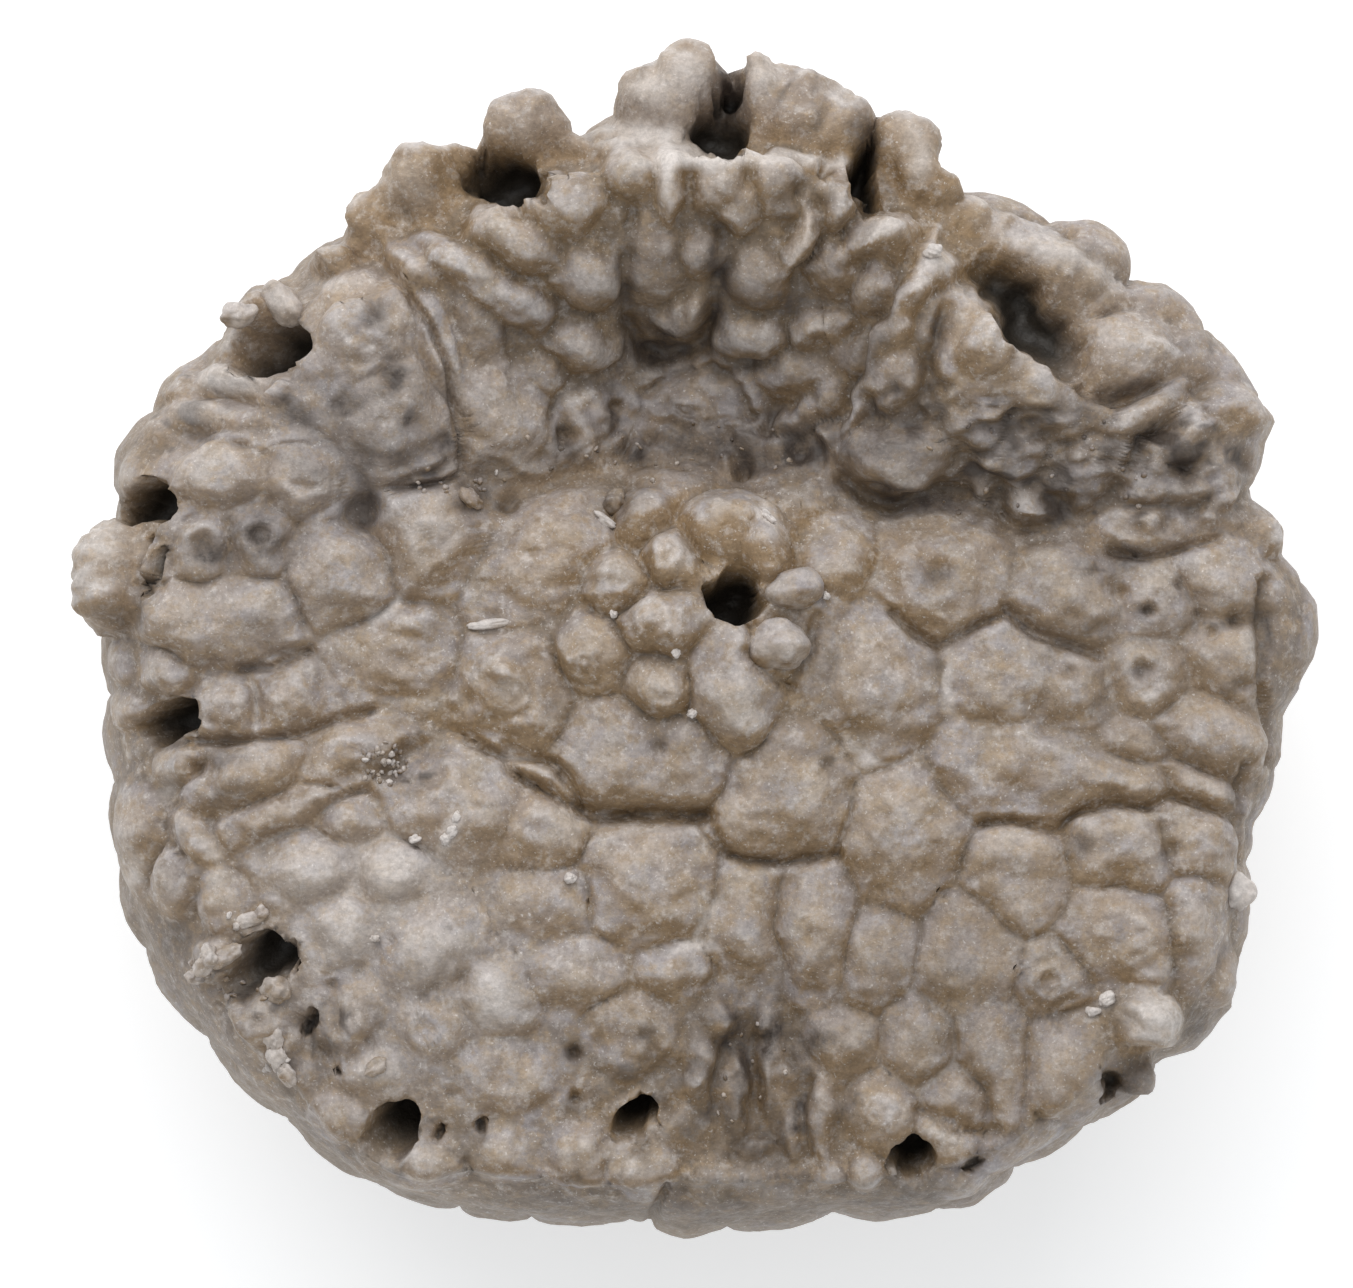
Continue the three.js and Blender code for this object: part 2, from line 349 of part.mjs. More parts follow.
// Moves a direction of the sphere on to a seam that passes close by, so that an edge of the mesh follows it
function snapToSeam(direction, plates) {
  const STEP = 0.004;
  const CLOSE = 0.4; // of the distance between neighbouring points of the sphere
  const spacing = 1.107 / (DETAIL + 1);
  const seamAt = (d) => locate(surfacePoint(d), plates).seam;
  const side = new THREE.Vector3(-direction.y, direction.x, 0);
  if (side.lengthSq() < 1e-6) return;
  side.normalize();
  const up = new THREE.Vector3().crossVectors(direction, side);
  const here = seamAt(direction);
  const stepped = (axis) => direction.clone().addScaledVector(axis, STEP).normalize();
  const slope = [side, up].map((axis) => (seamAt(stepped(axis)) - here) / STEP);
  const steepness = slope[0] ** 2 + slope[1] ** 2;
  const move = here / Math.sqrt(steepness);
  if (!(move < CLOSE * spacing)) return;
  direction.addScaledVector(side, (-here * slope[0]) / steepness);
  direction.addScaledVector(up, (-here * slope[1]) / steepness).normalize();
}

// The plated stone, from an icosahedron whose points are carried to the surface and raised along its normals
function platedSurface() {
  const sphere = new THREE.IcosahedronGeometry(1, DETAIL);
  sphere.deleteAttribute("normal");
  sphere.deleteAttribute("uv");
  const geometry = mergeVertices(sphere, 1e-5);
  const position = geometry.getAttribute("position");
  const plates = allPlates();
  const direction = new THREE.Vector3();
  for (let i = 0; i < position.count; i++) {
    direction.fromBufferAttribute(position, i).normalize();
    snapToSeam(direction, plates);
    position.setXYZ(i, ...surfacePoint(direction).toArray());
  }
  geometry.computeVertexNormals();
  const normal = geometry.getAttribute("normal");
  const point = new THREE.Vector3();
  const out = new THREE.Vector3();
  for (let i = 0; i < position.count; i++) {
    point.fromBufferAttribute(position, i);
    out.fromBufferAttribute(normal, i);
    // the stem facet stays bare, and the plates stand out less where they face sideways
    const bare = point.z > 4 ? 1 : smooth(STEM_RADIUS, STEM_RADIUS + 1.5, Math.hypot(point.x, point.y));
    const sideways = point.z > 4 ? THREE.MathUtils.lerp(RELIEF_AT_OUTLINE, 1, Math.abs(out.z)) : 1;
    point.addScaledVector(out, relief(point, plates) * bare * sideways);
    // the lowest bosses are worn flat where the calyx stands on them
    position.setXYZ(i, point.x, point.y, Math.max(0, point.z));
  }
  geometry.deleteAttribute("normal");
  return geometry;
}

// A closed geometry as a solid that can be cut
function solid(geometry) {
  const bare = geometry.clone();
  bare.deleteAttribute("normal");
  bare.deleteAttribute("uv");
  const merged = mergeVertices(bare, 1e-4);
  return new wasm.Manifold(
    new wasm.Mesh({
      numProp: 3,
      vertProperties: new Float32Array(merged.getAttribute("position").array),
      triVerts: new Uint32Array(merged.index.array),
    }),
  );
}

// A tapering pit that opens at the upper side and leans outwards from the middle
function pit([x, y, long, wide, turn, depth, lean]) {
  const above = 4;
  const shaft = new THREE.CylinderGeometry(1.1, 0.7, depth + above, 10);
  shaft.rotateX(Math.PI / 2);
  shaft.translate(0, 0, (above - depth) / 2);
  shaft.scale(long, wide, 1);
  shaft.rotateZ(radians(turn));
  const sideways = new THREE.Vector3(-y, x, 0).normalize();
  shaft.applyMatrix4(new THREE.Matrix4().makeRotationAxis(sideways, radians(lean)));
  shaft.translate(x, y, topHeight(x, y));
  return solid(shaft);
}

// The finished calyx: the plated stone with its pits and the stem's canal cut
function calyx() {
  let stone = solid(platedSurface());
  for (const opening of OPENINGS) stone = stone.subtract(pit(opening));
  const lumen = new THREE.CylinderGeometry(LUMEN_RADIUS, LUMEN_RADIUS, 5, 10);
  lumen.rotateX(Math.PI / 2);
  lumen.translate(0, 0, 1.5);
  const { vertProperties, triVerts } = stone.subtract(solid(lumen)).getMesh();
  const geometry = new THREE.BufferGeometry();
  geometry.setAttribute("position", new THREE.BufferAttribute(vertProperties, 3));
  geometry.setIndex(new THREE.BufferAttribute(triVerts, 1));
  geometry.computeVertexNormals();
  return geometry;
}

const calcite = new THREE.MeshStandardMaterial({ color: 0x8c8071, roughness: 0.6, metalness: 0 });
const body = new THREE.Mesh(calyx(), calcite);
body.name = "calyx";
const fossil = new THREE.Group();
fossil.add(body);

export default fossil;
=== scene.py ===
# A fossil crinoid calyx lying on a plain pale floor, with its tegmen up and the camera straight above it.
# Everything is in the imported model's frame, with +Z up. The calyx is worked out in millimetres and built in
# metres, as the rest is.
import math

import bpy
import numpy as np
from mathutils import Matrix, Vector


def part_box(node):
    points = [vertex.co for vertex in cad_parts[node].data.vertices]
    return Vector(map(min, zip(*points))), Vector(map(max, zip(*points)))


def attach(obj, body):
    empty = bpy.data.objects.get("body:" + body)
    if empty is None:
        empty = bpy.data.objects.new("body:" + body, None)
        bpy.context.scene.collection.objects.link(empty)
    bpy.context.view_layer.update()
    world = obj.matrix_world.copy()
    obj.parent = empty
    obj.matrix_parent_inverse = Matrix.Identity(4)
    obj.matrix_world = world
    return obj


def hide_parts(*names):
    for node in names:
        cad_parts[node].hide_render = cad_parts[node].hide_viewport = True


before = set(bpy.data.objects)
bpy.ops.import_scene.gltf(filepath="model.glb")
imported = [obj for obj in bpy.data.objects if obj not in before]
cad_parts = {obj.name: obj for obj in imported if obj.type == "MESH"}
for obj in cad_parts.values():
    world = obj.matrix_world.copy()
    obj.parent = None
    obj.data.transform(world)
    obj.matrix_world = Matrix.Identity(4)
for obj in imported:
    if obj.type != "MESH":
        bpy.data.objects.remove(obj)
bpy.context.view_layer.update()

# ---------------------------------------------------------------------------------------------------------
# Calyx: the stony body of a sea lily, one piece of calcite. The tegmen, its upper side, swells and sinks
# inside a margin with a step, and a bowl below curves in to the stem's facet. It isn't fixed to anything: it
# rests on its base. First comes its general form, as if it had no plates.

MM = 0.001
RIM_HEIGHT = 22.0  # general level of the tegmen
WIDEST_LEVEL = 15.5  # height at which the bowl is widest, on the side that it leans to
WIDEST_RISE = 3.0  # how much higher that is on the opposite side
LEAN = math.radians(235)  # direction in which the bowl leans out from under the tegmen
BASE_RADIUS = 23.0  # radius that the bowl's profile applies to low down
LOBES_REACH = 0.35  # share of the way down the bowl in which the outline's lobes fade out
LEAN_REACH = 0.5  # share of the way down the bowl in which its lean fades out
SHOULDER_WIDTH = 0.3  # least width of the shoulder between margin and outline
STEP_SHARE = 0.13  # share of the shoulder's width that the step outside the margin takes

# Outline of the bowl and shoulder from above, anticlockwise from the right, without the arm stubs
OUTLINE = [
    [25, 0.2], [25, 1.4], [24.6, 2.3], [23.7, 3.2], [23.6, 4.3], [23.2, 4.9], [22.6, 5.6], [22.8, 7.2],
    [22.9, 8], [23.3, 8.8], [21.8, 10.9], [20.1, 13.1], [19.1, 13.9], [17.8, 14.3], [17.3, 15.5],
    [16.3, 16.4], [14.5, 16.7], [12.3, 17.5], [11, 17.8], [9.4, 18.6], [8.2, 19.7], [6.6, 20.7],
    [3.6, 21.6], [1.4, 21.7], [-0.6, 21.7], [-2.6, 20.7], [-4.4, 19.8], [-6.4, 20], [-8.4, 19.4],
    [-10, 18.8], [-11.7, 17.5], [-13, 16], [-14.3, 15.9], [-15.7, 14.4], [-17.3, 13.9], [-18.4, 12.3],
    [-19.5, 11], [-20.5, 10.4], [-22.6, 7.4], [-23, 6.2], [-22.8, 4.9], [-22.8, 3.6], [-23.1, 2.4],
    [-23, 1.1], [-23.2, -0.2], [-23.2, -2.8], [-23, -5.1], [-22.9, -8.7], [-22.4, -11.2], [-21.2, -13.7],
    [-19.9, -15.3], [-17.6, -18], [-14.6, -20.5], [-12.7, -21.9], [-10.3, -22.6], [-8.1, -23.1],
    [-4.6, -23.4], [-1.6, -23.4], [0, -24], [2.5, -23.7], [6.1, -23.1], [10, -23], [11.5, -22.5],
    [13.6, -20.9], [16.2, -19.5], [18.1, -18.2], [19, -16.8], [20.3, -16.2], [21.8, -14.8], [22.1, -12.4],
    [22.4, -10.3], [22.6, -7.4], [23.2, -6.2], [23.8, -4.7], [23.7, -3], [24.7, -1.9],
]

# Radius of the tegmen's margin, every 10 degrees from +X towards +Y
MARGIN = [
    22.2, 21.5, 21.3, 18.9, 17.4, 17.2, 18.0, 18.5, 18.9, 18.9, 18.7, 18.0,
    18.1, 17.9, 18.7, 18.8, 20.8, 21.4, 21.2, 20.3, 21.2, 21.9, 23.5, 23.7,
    24.2, 22.6, 22.0, 21.5, 21.7, 22.7, 23.6, 23.7, 23.2, 23.0, 22.4, 22.3,
]

# Height of the step down outside that margin, at the same directions
EAVE = [
    0.3, 0.3, 0.4, 0.7, 0.9, 0.8, 1.2, 1.9, 2.3, 2.4, 2.2, 2.2,
    1.8, 1.4, 1.5, 1.7, 1.5, 1.3, 0.9, 0.9, 0.9, 1.1, 1.3, 1.3,
    1.0, 0.8, 0.8, 0.6, 0.5, 0.5, 0.4, 0.4, 0.4, 0.3, 0.3, 0.3,
]

# The bowl below its widest level: share of the outline's radius, and height
BOWL = [
    [1, 15.5], [0.985, 12.9], [0.95, 10], [0.88, 7.2], [0.77, 4.9], [0.64, 3], [0.51, 1.6], [0.4, 1],
    [0.29, 1.4], [0.2, 2.2], [0.14, 2.5], [0.07, 2.5], [0, 2.5],
]

# Broad swells (+) and hollows (-) of the tegmen: x, y, reach along x, reach along y, height
SWELLS = [
    [1.5, 0.5, 6, 5, 1.8], [0, 8.7, 6.5, 3.2, -3.2], [9, 4.9, 4, 1.4, -1.2], [-6, 6.3, 3, 1.2, -0.8],
    [1, 19, 10, 4.5, 2.6], [-7, 15.5, 5, 3, 0.8], [-0.8, 12, 2, 2, -1.2], [11, 10.5, 5, 3.6, 1.6],
    [8.8, 13.5, 1.6, 4, 0.8], [-12.5, 10.5, 4, 4, 1.3], [-17.5, 4.5, 5, 4, 0.8], [-11, -12, 8, 6, 1.3],
    [-15, -5.5, 5, 2.5, 0.3], [13, -11, 8, 6, 0.5], [3, -17, 2, 4, -1.1], [21, -1, 5, 8, -0.8],
    [15, 5, 5, 1.6, -0.6], [-12.9, 4.6, 1, 0.9, -1],
]


def closed_curve(values, angle):
    """Value at an angle of a smooth closed curve through equally spaced values: Catmull-Rom, so each stretch
    is a cubic whose slope at a value is half the difference of its two neighbours."""
    values = np.asarray(values)
    place = np.mod(angle / math.tau, 1) * len(values)
    i = np.floor(place).astype(int)
    a, b, c, d = (values[(i + k) % len(values)] for k in (-1, 0, 1, 2))
    return cubic(a, b, c, d, place - i)


def cubic(a, b, c, d, t):
    """b at t = 0 and c at t = 1, with slopes (c - a)/2 and (d - b)/2 there."""
    return b + 0.5 * t * (c - a + t * (2 * a - 5 * b + 4 * c - d + t * (3 * (b - c) + d - a)))


def smooth(low, high, x):
    """0 below low, 1 above high, and 3t² - 2t³ between them."""
    t = np.clip((x - low) / (high - low), 0, 1)
    return t * t * (3 - 2 * t)


def outline_radius(angle):
    """The outline's radius: a straight change of radius with angle between neighbouring points."""
    corners = np.array(OUTLINE)
    return np.interp(
        angle, np.arctan2(corners[:, 1], corners[:, 0]), np.hypot(*corners.T), period=math.tau
    )


def widest_level(angle):
    """The level where the bowl is widest: a cosine round the calyx, lowest where it leans out."""
    return WIDEST_LEVEL + WIDEST_RISE / 2 * (1 - np.cos(angle - LEAN))


def swell(x, y):
    """Level of the tegmen before its plates: the rim's level plus a bell shape for each swell."""
    height = np.full(np.shape(x), RIM_HEIGHT)
    for cx, cy, rx, ry, rise in SWELLS:
        height = height + rise * np.exp(-(((x - cx) / rx) ** 2) - ((y - cy) / ry) ** 2)
    return height


def bowl(share, angle):
    """Points of the bowl, from share 0 at its widest to 1 in the middle of the stem facet: BOWL's profile,
    turned round the axis, with the outline's lobes and the lean fading out downwards."""
    profile = np.array(BOWL)
    place = np.clip(share, 0, 1) * (len(profile) - 1)
    i = np.minimum(place.astype(int), len(profile) - 2)
    a, b, c, d = (profile[np.clip(i + k, 0, len(profile) - 1)] for k in (-1, 0, 1, 2))
    width, level = cubic(a, b, c, d, (place - i)[:, None]).T
    fade = smooth(0, LOBES_REACH, share)
    radius = np.maximum(0, width) * (outline_radius(angle) * (1 - fade) + BASE_RADIUS * fade)
    level = level + (widest_level(angle) - WIDEST_LEVEL) * (1 - smooth(0, LEAN_REACH, share))
    return np.stack([radius * np.cos(angle), radius * np.sin(angle), level], 1)


def upper_side(radius, angle):
    """Points of the upper side: the tegmen's swells as far as the margin, a step down there, and outside it
    the shoulder, a quarter of an ellipse that falls from there to the bowl's widest level at the outline."""
    x, y = radius * np.cos(angle), radius * np.sin(angle)
    margin = closed_curve(MARGIN, angle)
    shoulder = np.maximum(SHOULDER_WIDTH, outline_radius(angle) - margin)
    past = np.clip((radius - margin) / shoulder, 0, 1)
    low = widest_level(angle)
    top = swell(x, y) - closed_curve(EAVE, angle) * smooth(0, STEP_SHARE, past)
    return np.stack([x, y, low + (top - low) * np.sqrt(1 - past**2)], 1)


def calyx_point(way, angle):
    """Points of the whole bare form. way is 0 in the middle of the tegmen, 1 at its margin, 2 at the outline
    and 3 in the middle of the stem facet."""
    margin = closed_curve(MARGIN, angle)
    out = np.sin(np.clip(way - 1, 0, 1) * math.pi / 2)
    shoulder = np.maximum(SHOULDER_WIDTH, outline_radius(angle) - margin)
    radius = margin * np.minimum(way, 1) + out * shoulder
    return np.where((way <= 2)[:, None], upper_side(radius, angle), bowl(way - 2, angle))


def disc_grid(n):
    """A square grid bent into a disc: the distance from the middle is that of the grid's square ring, and
    places along the ring become equal steps of angle. Returns each vertex's ring as a share of the radius,
    its angle, the four-sided faces, the vertices' numbers and those round the edge."""
    v, u = np.meshgrid(np.linspace(-1, 1, n + 1), np.linspace(-1, 1, n + 1), indexing="ij")
    across = np.abs(u) >= np.abs(v)
    with np.errstate(divide="ignore", invalid="ignore"):
        angle = np.where(across, math.pi / 4 * v / u, math.pi / 2 - math.pi / 4 * u / v)
    angle = np.where(across, angle + math.pi * (u < 0), angle + math.pi * (v < 0))
    angle[n // 2, n // 2] = 0
    k = np.arange((n + 1) ** 2).reshape(n + 1, n + 1)
    faces = np.stack([k[:-1, :-1], k[:-1, 1:], k[1:, 1:], k[1:, :-1]], -1).reshape(-1, 4)
    edge = np.concatenate([k[:-1, -1], k[-1, :0:-1], k[:0:-1, 0], k[0, :-1]])
    return np.maximum(abs(u), abs(v)).ravel(), angle.ravel(), faces, k, edge


# The mesh's layout: a fine disc for the tegmen, rings of fewer and fewer columns down the shoulder and the
# bowl, and a small disc that closes the stem facet.
TEGMEN_CELLS = 240  # cells across the tegmen, so its edge has four times as many columns

# Way at which each band of rings ends, and how many rings it has. From the second on, columns are halved.
RINGS = [(2.0, 16), (2.42, 31), (2.62, 14), (2.75, 6)]


def calyx_layout():
    """Every vertex's way and angle, and the faces. The columns of each ring start in the same direction as
    the disc's corner, so the halved rings, and the disc at the foot, meet vertex to vertex."""
    ring, angle, faces, _, edge = disc_grid(TEGMEN_CELLS)
    ways, angles, quads, triangles = [ring], [angle], [faces], []
    count, upper, reached = len(ring), edge, 1.0
    for band, (end, rows) in enumerate(RINGS):
        for row, way in enumerate(np.linspace(reached, end, rows + 1)[1:]):
            halve = band > 0 and row == 0
            columns = len(upper) // 2 if halve else len(upper)
            lower = count + np.arange(columns)
            right = np.roll(lower, -1)
            if halve:
                left_half, middle, right_half = upper[::2], upper[1::2], np.roll(upper[::2], -1)
                triangles += [
                    np.stack([left_half, lower, middle], 1),
                    np.stack([middle, lower, right], 1),
                    np.stack([middle, right, right_half], 1),
                ]
            else:
                quads.append(np.stack([upper, lower, right, np.roll(upper, -1)], 1))
            ways.append(np.full(columns, way))
            angles.append(-math.pi / 4 + math.tau * np.arange(columns) / columns)
            count, upper = count + columns, lower
        reached = end
    ring, angle, faces, places, edge = disc_grid(len(upper) // 4)
    inner = np.ones(places.size, bool)
    inner[edge] = False
    index = np.empty(places.size, int)
    index[inner] = count + np.arange(inner.sum())
    index[edge] = upper
    quads.append(index[faces][:, ::-1])
    ways.append(3 - ring[inner] * (3 - reached))
    angles.append(angle[inner])
    return np.concatenate(ways), np.concatenate(angles), np.concatenate(quads), np.concatenate(triangles)


def triangulated(quads, triangles):
    """All faces as triangles, each four-sided one cut along a diagonal."""
    return np.concatenate([quads[:, [0, 1, 2]], quads[:, [0, 2, 3]], triangles])


def unit(vectors):
    """The vectors at length 1."""
    return vectors / np.linalg.norm(vectors, axis=1, keepdims=True)


def face_crosses(points, corners):
    """For each triangle, the cross product of two of its sides: square to it, and twice its area long."""
    side = points[corners]
    return np.cross(side[:, 1] - side[:, 0], side[:, 2] - side[:, 0])


def columnwise(work, vectors):
    """The same work done on each of the three columns."""
    return np.stack([work(vectors[:, k]) for k in range(3)], 1)


def vertex_normals(points, corners):
    """Unit normals: the triangles' cross products, summed at their vertices."""
    ends, crosses = corners.ravel(), face_crosses(points, corners)
    return unit(columnwise(lambda part: np.bincount(ends, np.repeat(part, 3), len(points)), crosses))


def blurred(values, corners, rounds):
    """Each vertex's value, replaced by the mean over itself and its neighbours, that many times over."""
    ends = np.concatenate([corners[:, [0, 1]], corners[:, [1, 2]], corners[:, [2, 0]]])
    count = 1 + np.bincount(ends[:, 0], minlength=len(values))
    for _ in range(rounds):
        values = (values + np.bincount(ends[:, 0], values[ends[:, 1]], len(values))) / count
    return values


def calmed(normals, corners, rounds):
    """The unit normals, blurred that many times."""
    return unit(columnwise(lambda part: blurred(part, corners, rounds), normals))


def evened(points, corners, share, rounds):
    """The points, each moved by its share of the way to the mean round it, that many times."""
    for _ in range(rounds):
        mean = columnwise(lambda part: blurred(part, corners, 1), points)
        points = points + share[:, None] * (mean - points)
    return points


ways, angles, quads, triangles = calyx_layout()
corners = triangulated(quads, triangles)
plain = calyx_point(ways, angles)
form_normals = vertex_normals(plain, corners)
above = plain[:, 2] > WIDEST_LEVEL - 1

# ---------------------------------------------------------------------------------------------------------
# Plates: the tiles of calcite that the animal's wall and roof were built of, swollen and of all sizes on the
# tegmen, in rings on the bowl. They have grown together along grooved seams. Some seams have opened as
# furrows, and in places the plates have run together so far that the seams hardly show.

# On the tegmen: x, y, half length, half width, turn in degrees, height, dimple, and 1 where it is a further
# part of the plate before it
PLATES = [
    # ring round the anal opening
    [5.5, -0.4, 0.8, 2.1, 0, 0.2, 0], [1.9, -2.2, 1.5, 2.3, 15, 1.2, 0], [-3.1, -4.7, 2, 2, 0, 0.9, 0],
    [0, -5, 1.6, 1.8, 0, 0.8, 0.2, 1], [-1.6, 4.7, 1.2, 1.1, 0, 1, 0], [1.7, 4.4, 1.8, 1.1, -5, 1.4, 0],
    [3, 3.6, 0.8, 1, 30, 1.2, 0, 1], [-0.6, 3.1, 1, 1.2, 0, 1.1, 0], [-1.1, 0.7, 1.6, 1.3, 0, 1.4, 0],
    [-2.8, 2.2, 1.2, 1.2, 0, 0.9, 0], [-0.9, -1.9, 1.4, 1.2, 0, 1, 0], [-3.9, -0.8, 1.3, 1.5, 0, 1, 0],
    [6.3, 3.3, 1.4, 1.4, 0, 0.7, 0],
    # plates outside that ring
    [-7.1, -2.1, 2.2, 2.1, 0, 1.1, 0], [-5.8, 3.2, 3.1, 1.6, 38, 0.72, 0.3], [-10.2, 4, 2, 2.1, 0, 1.1, 0],
    [9.9, 2.6, 2.3, 2.3, 0, 0.9, 0.5], [7.6, -2, 2, 2.8, 0, 0.81, 0], [3.8, -6.3, 2.7, 2.4, 20, 0.99, 0],
    [8.6, -8, 2.2, 2.7, 0, 0.9, 0],
    # right
    [12.6, -1.6, 2, 1.8, 0, 0.68, 0.2], [15.4, -2.1, 1.5, 1.5, -20, 0.51, 0, 1],
    [13.2, -5.2, 2.8, 1.9, -8, 0.59, 0], [17, -5.6, 2.5, 0.9, -12, 0.59, 0, 1],
    [15.2, 1.6, 2.1, 1.6, 0, 0.85, 0], [18.6, 1.5, 1.5, 1.4, 0, 0.68, 0.1],
    [21.3, 2.4, 1.9, 1.2, 0, 0.59, 0], [18.3, -1.5, 1.4, 1.4, 0, 0.77, 0.3],
    [21.4, -1, 1.4, 1.5, 0, 0.77, 0.2], [20.9, -4, 2.1, 1.3, -15, 0.85, 0],
    [18, -4.1, 1.2, 0.8, -20, 0.34, 0], [20.4, -6, 1.9, 0.7, -25, 0.59, 0],
    [13.2, -9.2, 2.1, 2.1, 0, 0.77, 0], [17.2, -8.4, 2.1, 1.7, 0, 0.77, 0.1],
    [20.4, -8.1, 1.6, 1.5, 0, 0.59, 0], [17.2, -11.9, 2.2, 1.9, -10, 0.77, 0.1],
    [20.3, -11.4, 1.2, 2.3, 8, 0.59, 0], [21.6, -13.6, 0.8, 1.2, 0, 0.51, 0],
    [14.4, -13.5, 1.5, 1.5, 0, 0.59, 0.2], [11.2, -12.5, 1.9, 2.3, 0, 0.68, 0],
    [12.2, -16.7, 1.2, 2.8, 12, 0.51, 0, 1], [15.1, -17.2, 1.7, 2.1, -8, 0.68, 0],
    [7.6, -12.8, 1.4, 1.9, 0, 0.68, 0], [9.2, -16, 1.4, 1.7, 0, 0.68, 0.1],
    [11, -18.4, 1.4, 1.2, 0, 0.51, 0], [6.3, -16.3, 1.5, 1.5, 0, 0.77, 0],
    [7.8, -18.6, 1.3, 1.4, 0, 0.68, 0.1], [10.4, -20, 1.4, 0.8, -35, 0.51, 0],
    [2.4, -11.7, 1.3, 2.8, 0, 0.68, 0], [5.1, -11.5, 1.5, 2.7, 0, 0.77, 0],
    [11.1, -21.7, 0.9, 0.8, 0, 0.42, 0], [13.5, -20.2, 1.5, 0.7, 15, 0.26, 0],
    [17.8, -18.2, 0.9, 0.9, 0, 0.34, 0],
    # lower left
    [-5.75, -5.5, 1.6, 0.42, -33, 0.5, 0], [-9.2, -6.7, 2.5, 2.1, 0, 1.1, 0],
    [-5.8, -7.8, 1.9, 1.5, 0, 0.9, 0, 1], [-1.7, -9.6, 2.7, 2.2, 0, 0.9, 0],
    [-5.6, -10.6, 2, 1.6, 0, 0.6, 0], [-15, -9.2, 2, 1.4, 0, 0.9, 0], [-11.6, -9.3, 1.8, 1.4, 0, 0.9, 0],
    [-13.7, -11.7, 1.5, 1.5, 0, 0.9, 0], [-10.2, -12.3, 2, 1.7, 0, 0.7, 0],
    [-7.4, -14.4, 1.7, 1.6, 0, 0.7, 0], [-10.2, -15.6, 1.6, 1.4, 0, 0.6, 0.1],
    [-4.3, -13.4, 1.7, 1.7, 0, 0.6, 0], [-0.4, -13.2, 1.3, 0.9, 0, 0.7, 0],
    [-2.3, -15.4, 1.5, 1.2, 0, 0.4, 0], [-7.2, -17.6, 2.2, 1.5, 0, 0.5, 0],
    [-4.2, -20.6, 1.2, 1.1, 0, 0.7, 0], [-1.8, -21, 1.2, 0.9, 0, 0.6, 0], [-7.3, -20.5, 1.5, 1, 0, 0.5, 0],
    [-10.4, -21, 1.5, 1, 0, 0.5, 0], [-13.9, -19.2, 1, 0.9, 0, 0.6, 0], [-16.8, -15, 0.9, 0.9, 0, 0.5, 0],
    [-12.4, -17.2, 1.1, 0.9, 0, 0.4, 0], [-13.4, -14.6, 1.5, 1.3, 0, 0.4, 0],
    [-18.7, -12.9, 0.9, 0.7, 30, 0.8, 0],
    # left
    [-19.9, 0.8, 2.2, 1.5, 0, 1, 0], [-17.4, 0.8, 2.1, 1.6, 0, 1, 0, 1], [-13.6, 2.3, 1.9, 1.9, 0, 1, 0],
    [-19.3, 3.7, 1.3, 1.4, 0, 1, 0.3], [-16.9, 4.1, 1.4, 1.4, 0, 1, 0.4], [-18.6, 6.6, 2.1, 1.4, 0, 0.9, 0],
    [-15.2, 6.4, 1.9, 1.5, -10, 0.9, 0, 1], [-21.2, 2.9, 0.7, 0.9, 0, 0.5, 0],
    [-18.2, -2.7, 1.2, 1, 0, 0.8, 0.1], [-15.6, -2.3, 1.6, 1.5, 0, 0.9, 0],
    [-20.8, -1.1, 1.1, 0.6, -35, 0.6, 0], [-22.8, -0.9, 0.9, 0.9, 0, 0.6, 0],
    [-22.3, -2.9, 0.9, 0.6, 0, 0.6, 0], [-17.2, -5.2, 2.4, 1, 22, 1.1, 0],
    [-20.3, -5.2, 1, 0.6, 15, 0.7, 0], [-16, -7, 2.4, 0.8, 22, 0.9, 0], [-13.2, -7.3, 1.4, 0.9, 0, 0.6, 0],
    [-13.1, -4.3, 1.8, 1.3, 20, 0.7, 0], [-11.6, -0.8, 2.2, 1.9, 0, 0.7, 0],
    [-19.7, -7.9, 1.3, 0.7, -35, 0.5, 0], [-18.3, -10.4, 1, 1, 0, 0.5, 0], [-20.3, -9.7, 1, 1.3, 0, 1, 0],
    [-22.1, -8, 1, 1.8, 0, 0.8, 0],
    # upper left
    [-13.1, 12.1, 2, 2.1, 0, 1.1, 0], [-11.8, 8.7, 2.2, 2.1, 0, 1.1, 0, 1],
    [-9.9, 11.4, 0.6, 2.3, 18, 0.75, 0], [-10.8, 14.7, 1.1, 0.7, -40, 1, 0],
    [-17.5, 10.1, 1.7, 0.6, -10, 1.2, 0], [-19, 8.9, 1.5, 0.6, 0, 0.75, 0],
    # upper right
    [12, 11.6, 2.2, 1.8, -30, 0.9, 0], [14.1, 9.9, 1.6, 1.1, -40, 0.8, 0, 1],
    [18.5, 9.2, 1.4, 0.6, 38, 0.9, 0], [17.8, 11.6, 1.7, 1.3, 0, 1, 0], [15.2, 14.6, 3, 1, -35, 1, 0],
    [18.4, 4.4, 1.7, 0.8, 0, 0.5, 0],
    # in the trough before the highest side
    [0.3, 9.1, 2.3, 1.7, 10, 1.1, 0.15], [-4, 8.8, 1.7, 1.3, 20, 0.7, 0], [-6.9, 8.3, 1.5, 1.9, 10, 0.8, 0],
]

# In rings on the bowl: how many, place from 0 at its widest to 1 at the stem, radius, height
BOWL_RINGS = [
    [40, 0.02, 1.9, 0.8], [38, 0.11, 2, 0.8], [30, 0.2, 2.2, 0.9], [20, 0.295, 2.7, 1.1],
    [10, 0.395, 3.4, 1.3], [10, 0.48, 2.6, 1.2], [5, 0.575, 3.6, 1.6],
]

